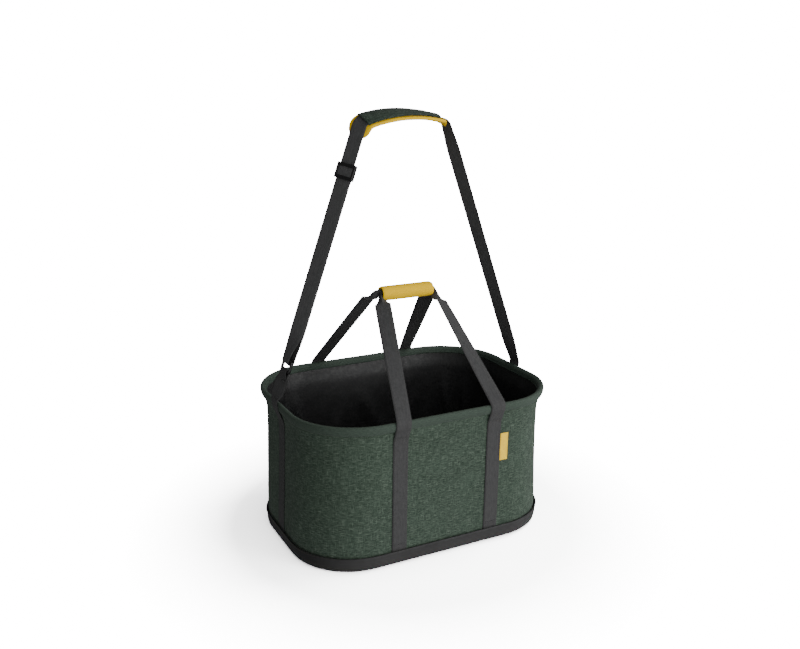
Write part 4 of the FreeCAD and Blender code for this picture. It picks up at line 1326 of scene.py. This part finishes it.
def strap_ring():
    """The ring: a rounded loop of round bar."""
    middle = (LOWER_BAR + UPPER_BAR) / 2
    outward = RING_WAY.cross(-ACROSS)
    rings = []
    columns = outline(*RING_OUTLINE)
    for x, y, p, q in columns:
        place = middle - ACROSS * x + RING_WAY * y
        facing = RING_WAY * q - ACROSS * p
        rings.append([round_bar(place, outward, facing, RING_BAR, 18 * k) for k in range(20)])
    around = [RING_BAR * 2 * pi * k / 20 for k in range(21)]
    mesh = swept("ring_moulding", rings, round_length(columns), around, closed=True)
    piece("ring_moulding", mesh, GLOSS_LOOK, "strap_ring", ["strap_ring"])


strap_ring()


SLIDER_BAR, SLIDER_VOXEL = 0.0013, 0.00045
# Up one side of the webbing sewn round the slider's bar: (distance from the bar, distance out).
SEWN_PLACES = [(-SEWN_END, 0.0009), (-0.012, 0.0009), (-0.006, 0.0010), (-0.002, 0.0018)]
# Half the length of the webbing in the slider's window, its width, its thickness, how far out
# its ends lie and how far it rises.
BULGE_HALF, BULGE_WIDTH, BULGE_THICK, BULGE_OUT, BULGE_RISE = 0.0125, 0.0315, 0.0004, 0.00108, 0.0027


def slider():
    """The slider's frame, the webbing sewn round its bar and the strap bulging through it."""
    frame_mesh = frame["nodes"]["slider_frame"].data.copy()
    obj = piece("slider_moulding", frame_mesh, GLOSS_LOOK)
    remesh = obj.modifiers.new("remesh", "REMESH")
    remesh.mode, remesh.voxel_size = "VOXEL", SLIDER_VOXEL
    soften = obj.modifiers.new("soften", "SMOOTH")
    soften.factor, soften.iterations = 0.5, 12
    settle(obj, evaluated_mesh(obj))
    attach(obj, "slider")
    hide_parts("slider_frame")

    seat = rolled(left_leg(SLIDER_PLACE), LEFT_WAY, LEG_ROLL)
    bar = seat.middle - seat.outward * RETURN_DEPTH
    line = resampled(hairpin(bar, LEFT_WAY, seat.outward, SLIDER_BAR + HALF_WEB, bar, SEWN_PLACES),
                     0.0012)
    web_piece("slider_loop_webbing", framed(line, seat.across), SHOULDER_WEB_PAINTED_LIGHT, "slider",
              ["slider_sewn_end"])
    bulge = []
    for i in range(21):
        share = i / 20
        place = left_leg(SLIDER_PLACE + mix(-BULGE_HALF, BULGE_HALF, share))
        bulge.append(rolled(place, LEFT_WAY, LEG_ROLL, BULGE_OUT + BULGE_RISE * sin(pi * share) ** 1.3))
    web_piece("slider_strap_bulge", bulge, SHOULDER_WEB_PAINTED_LIGHT, "slider", width=BULGE_WIDTH,
              thickness=BULGE_THICK)


slider()

# ---- shoulder pad

PAD_WIDTH, PAD_START, PAD_LEFT_TAIL, PAD_RIGHT_TAIL = 0.054, 0.0092, 0.024, 0.005
PAD_FACE, PAD_STEP = -0.0009, 0.003
PAD_ROUND_END, PAD_POINTED_END, PAD_END_GAP, PAD_SEAM_INSET = 0.026, 0.034, 0.0006, 0.0008
PAD_VOXEL, PAD_SWELL, PAD_TOP_HOLD, PAD_SIDE_HOLD, PAD_SEAM_HOLD = 0.0026, 0.0024, 0.0016, 0.002, 0.0035
pad_path = (leg_rolls(LEFT_LENGTH - PAD_LEFT_TAIL, LEFT_LENGTH, 8) + left_turn[1:] + crest[1:]
            + right_turn[1:] + right_rolls(0.001, PAD_RIGHT_TAIL, 3))
pad_line = rolled_line(pad_path, PAD_STEP)


def pad_base():
    """The yellow cushion: a long lens with a round left end and a pointed right end."""
    lengths = running_length([s.middle for s in pad_line])
    total = lengths[-1]
    rings, widths = [], []
    for station, length in zip(pad_line, lengths):
        left = min(1.0, (length + PAD_END_GAP) / PAD_ROUND_END)
        right = min(1.0, (total - length + PAD_END_GAP) / PAD_POINTED_END)
        plan = sqrt(1 - (1 - left) ** 2) * (1 - (1 - right) ** 1.8)
        half = PAD_WIDTH / 2 * plan - PAD_SEAM_INSET
        thick = PAD_START * (0.35 + 0.65 * min(1.0, plan * 1.1))
        ring = []
        for k in range(36):
            turn = 2 * pi * k / 36
            c, s = cos(turn), sin(turn)
            a = half * copysign(abs(c) ** 0.75, c)
            b = thick / 2 * copysign(abs(s) ** 0.8, s)
            ring.append(station.point(a, PAD_FACE - thick / 2 + b))
        rings.append(ring)
        widths.append(max(half, 0.001))
    mesh = swept("pad_base", rings, lengths, running_length(rings[len(rings) // 2], True))
    obj = piece("pad_cushion", mesh, YELLOW, "shoulder_strap", ["pad_base"])
    places = np.array([s.middle for s in pad_line])

    def local(point):
        near = int(np.argmin(((places - np.array(point)) ** 2).sum(1)))
        station = pad_line[near]
        offset = point - station.middle
        return near, offset.dot(station.across), offset.dot(station.outward)

    def held(point):
        near, a, n = local(point)
        under_strap = n > PAD_FACE - PAD_TOP_HOLD and abs(a) < WEBBING_WIDTH / 2 + PAD_SIDE_HOLD
        top = 1.0 if under_strap else 0.0
        seam = 1 - smooth((widths[near] - abs(a)) / PAD_SEAM_HOLD)
        return max(top, 0.85 * seam)

    inflate(obj, PAD_VOXEL, PAD_SWELL, held)


pad_base()


# The pad's cover: half its width, its thickness, half the width of its arch, where the arch's
# foot lies, how far the arch rises and the edges drop from there, and how its rim is sewn.
COVER_HALF, COVER_THICK, COVER_ARCH, ARCH_ROUND = 0.0200, 0.0018, 0.0165, 0.017
COVER_FOOT, COVER_RISE, COVER_DROP, DROP_LENGTH = 0.0012, 0.0026, 0.0016, 0.0065
COVER_HEM, HEM_SHARE, COVER_SEAM, COVER_RIPPLE = 0.001, 0.6, 0.003, 0.00035


def cover_height(a):
    if abs(a) < COVER_ARCH:
        return COVER_FOOT + COVER_RISE * (1 - (a / ARCH_ROUND) ** 2)
    return COVER_FOOT - COVER_DROP * smooth((abs(a) - COVER_ARCH) / DROP_LENGTH)


def sewn_across(stations, section, *sizes):
    """Stitches across both ends of a band, one station in from each."""
    runs = []
    for station in (stations[1], stations[-2]):
        line = [station.point(a, b) for a, b in section]
        runs += dashes(line, [station.outward] * len(line), *sizes)
    return runs


def pad_cover():
    """The green cover over the strap: a shallow arch whose edges come down to the cushion."""
    stations = rolled_line(left_turn[10:] + crest[1:-2], PAD_STEP)
    section = [(COVER_HALF * (i / 12 - 1), cover_height(COVER_HALF * (i / 12 - 1))) for i in range(25)]
    top = [(a, b + COVER_THICK * (1 if abs(a) < COVER_HALF - COVER_HEM else HEM_SHARE))
           for a, b in section]
    section = top + section[::-1]
    rings = []
    for i, station in enumerate(stations):
        ripple = COVER_RIPPLE * sin(i * 0.9) * sin(i * 0.31)
        rings.append([station.point(a, b + ripple * (1 - (a / COVER_HALF) ** 2)) for a, b in section])
    lengths = running_length([s.middle for s in stations])
    mesh = swept("pad_cover_cloth", rings, lengths, round_length(section), sharp=60)
    obj = piece("pad_cover_cloth", mesh, PAD_GREEN, "shoulder_strap", ["pad_cover"])
    runs = []
    for a in (COVER_SEAM - COVER_HALF, COVER_HALF - COVER_SEAM):
        height = float(np.interp(a, [p for p, _ in top], [q for _, q in top]))
        runs += dashes([s.point(a, height) for s in stations], [s.outward for s in stations])
    runs += sewn_across(stations, top[2:-2])
    sewn_piece("pad_cover_stitches", runs, GREEN_THREAD, "shoulder_strap")


pad_cover()

# ---- label


TAG_OUT, TAG_THICK, TAG_INSET, TAG_THREAD = 0.0007, 0.0009, 0.0017, 0.00024
TAG_PITCH, TAG_STITCH = 0.0030, 0.0021


def side_label():
    """The yellow tag on the front wall, sewn round its edge."""
    low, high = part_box("side_label")
    width = high.x - low.x
    place = middle_x("side_label")
    share = share_at(place, "y", -1)
    stations = []
    for i in range(21):
        height = mix(low.z, high.z, i / 20)
        out = level_at(height, WALL_LEVELS)[1] + slack(share, height) + TAG_OUT
        stations.append(Station((place, -out, height), UP, ALONG))
    piece("yellow_tag", webbing("yellow_tag", stations, width, TAG_THICK), TAG,
          "basket", ["side_label"])
    runs = []
    sewn = stations[1:-1]
    for edge in (-1, 1):
        line = [s.point(edge * (width / 2 - TAG_INSET), TAG_THICK / 2) for s in sewn]
        runs += dashes(line, [s.outward for s in sewn], TAG_PITCH, TAG_STITCH)
    row = [((width - 2 * TAG_INSET) * (k / 8 - 0.5), TAG_THICK / 2) for k in range(9)]
    runs += sewn_across(stations, row, TAG_PITCH, TAG_STITCH)
    sewn_piece("tag_stitches", runs, YELLOW_THREAD, "basket", radius=TAG_THREAD)


side_label()

# ---- floor, light and camera


FLOOR_BRIGHTNESS, BACKDROP_BRIGHTNESS, BACKDROP_RADIUS = 10.0, 18.0, 12.0
SHADOW_NEAR, SHADOW_FAR, FLOOR_DROP = 0.36, 0.62, -0.0005


def staged(name, work, look):
    """A stage object that the camera sees and the basket isn't lit by."""
    mesh = bpy.data.meshes.new(name)
    work.to_mesh(mesh)
    work.free()
    mesh.materials.append(look)
    obj = placed(name, mesh)
    obj.visible_diffuse = obj.visible_glossy = obj.visible_transmission = False
    return obj


def glow(look):
    node = look.node("Emission")
    node.inputs["Strength"].default_value = BACKDROP_BRIGHTNESS
    return node.outputs[0]


def stage():
    """A white sweep: a floor that takes the soft shadow and a bright backdrop round it."""
    work = bmesh.new()
    bmesh.ops.create_circle(work, cap_ends=True, segments=96, radius=BACKDROP_RADIUS)
    look = Look("pale_floor", roughness=1.0, specular=0.0)
    tone = look.noise(look.coordinates("Object"), 3, 2)
    bright = look.node("BsdfDiffuse")
    colour = look.between(tone, 0, 1, FLOOR_BRIGHTNESS, FLOOR_BRIGHTNESS * 1.02)
    plug(look.tree, bright.inputs["Color"], colour)
    distance = look.node("VectorMath", operation="LENGTH")
    plug(look.tree, distance.inputs[0], look.coordinates("Object"))
    blend = look.node("MixShader")
    share = look.between(distance.outputs["Value"], SHADOW_NEAR, SHADOW_FAR)
    plug(look.tree, blend.inputs[0], share)
    look.tree.links.new(bright.outputs[0], blend.inputs[1])
    look.tree.links.new(glow(look), blend.inputs[2])
    staged("floor", work, look.surface(blend.outputs[0])).location.z = FLOOR_DROP
    work = bmesh.new()
    bmesh.ops.create_uvsphere(work, u_segments=48, v_segments=24, radius=BACKDROP_RADIUS)
    look = Look("backdrop")
    staged("backdrop", work, look.surface(glow(look))).visible_shadow = False


def aimed(obj, place, way):
    obj.location = place
    obj.rotation_mode = "QUATERNION"
    obj.rotation_quaternion = way.to_track_quat("-Z", "Y")


def soft_light(name, place, aim, power, size):
    data = bpy.data.lights.new(name, "AREA")
    data.energy, data.shape, data.size = power, "DISK", size
    aimed(placed(name, data), place, Vector(aim) - Vector(place))


AMBIENT_LOW, AMBIENT_HIGH = 0.16, 1.35
BRIGHT_SIDE = (0.36, -0.93, -0.05)
# (name, place, aim, watts, size)
LIGHTS = (("key", (1.5, -0.4, 2.8), (0, 0, 0.1), 27, 1.2), ("front", (2.0, -2.9, 0.5), (0, 0, 0.3), 66, 1.6))


def studio():
    """Ambient light mostly from the front right, a broad key from above and one from the front."""
    world = bpy.data.worlds.new("studio")
    world.use_nodes = True
    tree = world.node_tree
    background = tree.nodes["Background"]
    background.inputs["Color"].default_value = (1.0, 1.0, 1.0, 1.0)
    facing = tree.nodes.new("ShaderNodeVectorMath")
    facing.operation = "DOT_PRODUCT"
    tree.links.new(tree.nodes.new("ShaderNodeTexCoord").outputs["Generated"], facing.inputs[0])
    facing.inputs[1].default_value = BRIGHT_SIDE
    strength = tree.nodes.new("ShaderNodeMapRange")
    tree.links.new(facing.outputs["Value"], strength.inputs["Value"])
    for name, value in (("From Min", -0.3), ("From Max", 1.0), ("To Min", AMBIENT_LOW),
                        ("To Max", AMBIENT_HIGH)):
        strength.inputs[name].default_value = value
    tree.links.new(strength.outputs[0], background.inputs["Strength"])
    bpy.context.scene.world = world
    for lamp in LIGHTS:
        soft_light(*lamp)


CAMERA_PLACE = Vector((-0.8155, -1.5915, 0.9163))
CAMERA_AZIMUTH, CAMERA_ELEVATION = radians(-27.0), radians(15.3)
LENS = 40.65


def camera():
    data = bpy.data.cameras.new("camera")
    data.lens, data.sensor_width = LENS, 36
    obj = placed("camera", data)
    back = Vector((sin(CAMERA_AZIMUTH) * cos(CAMERA_ELEVATION),
                   -cos(CAMERA_AZIMUTH) * cos(CAMERA_ELEVATION),
                   sin(CAMERA_ELEVATION)))
    aimed(obj, CAMERA_PLACE, -back)
    bpy.context.scene.camera = obj


stage()
studio()
camera()
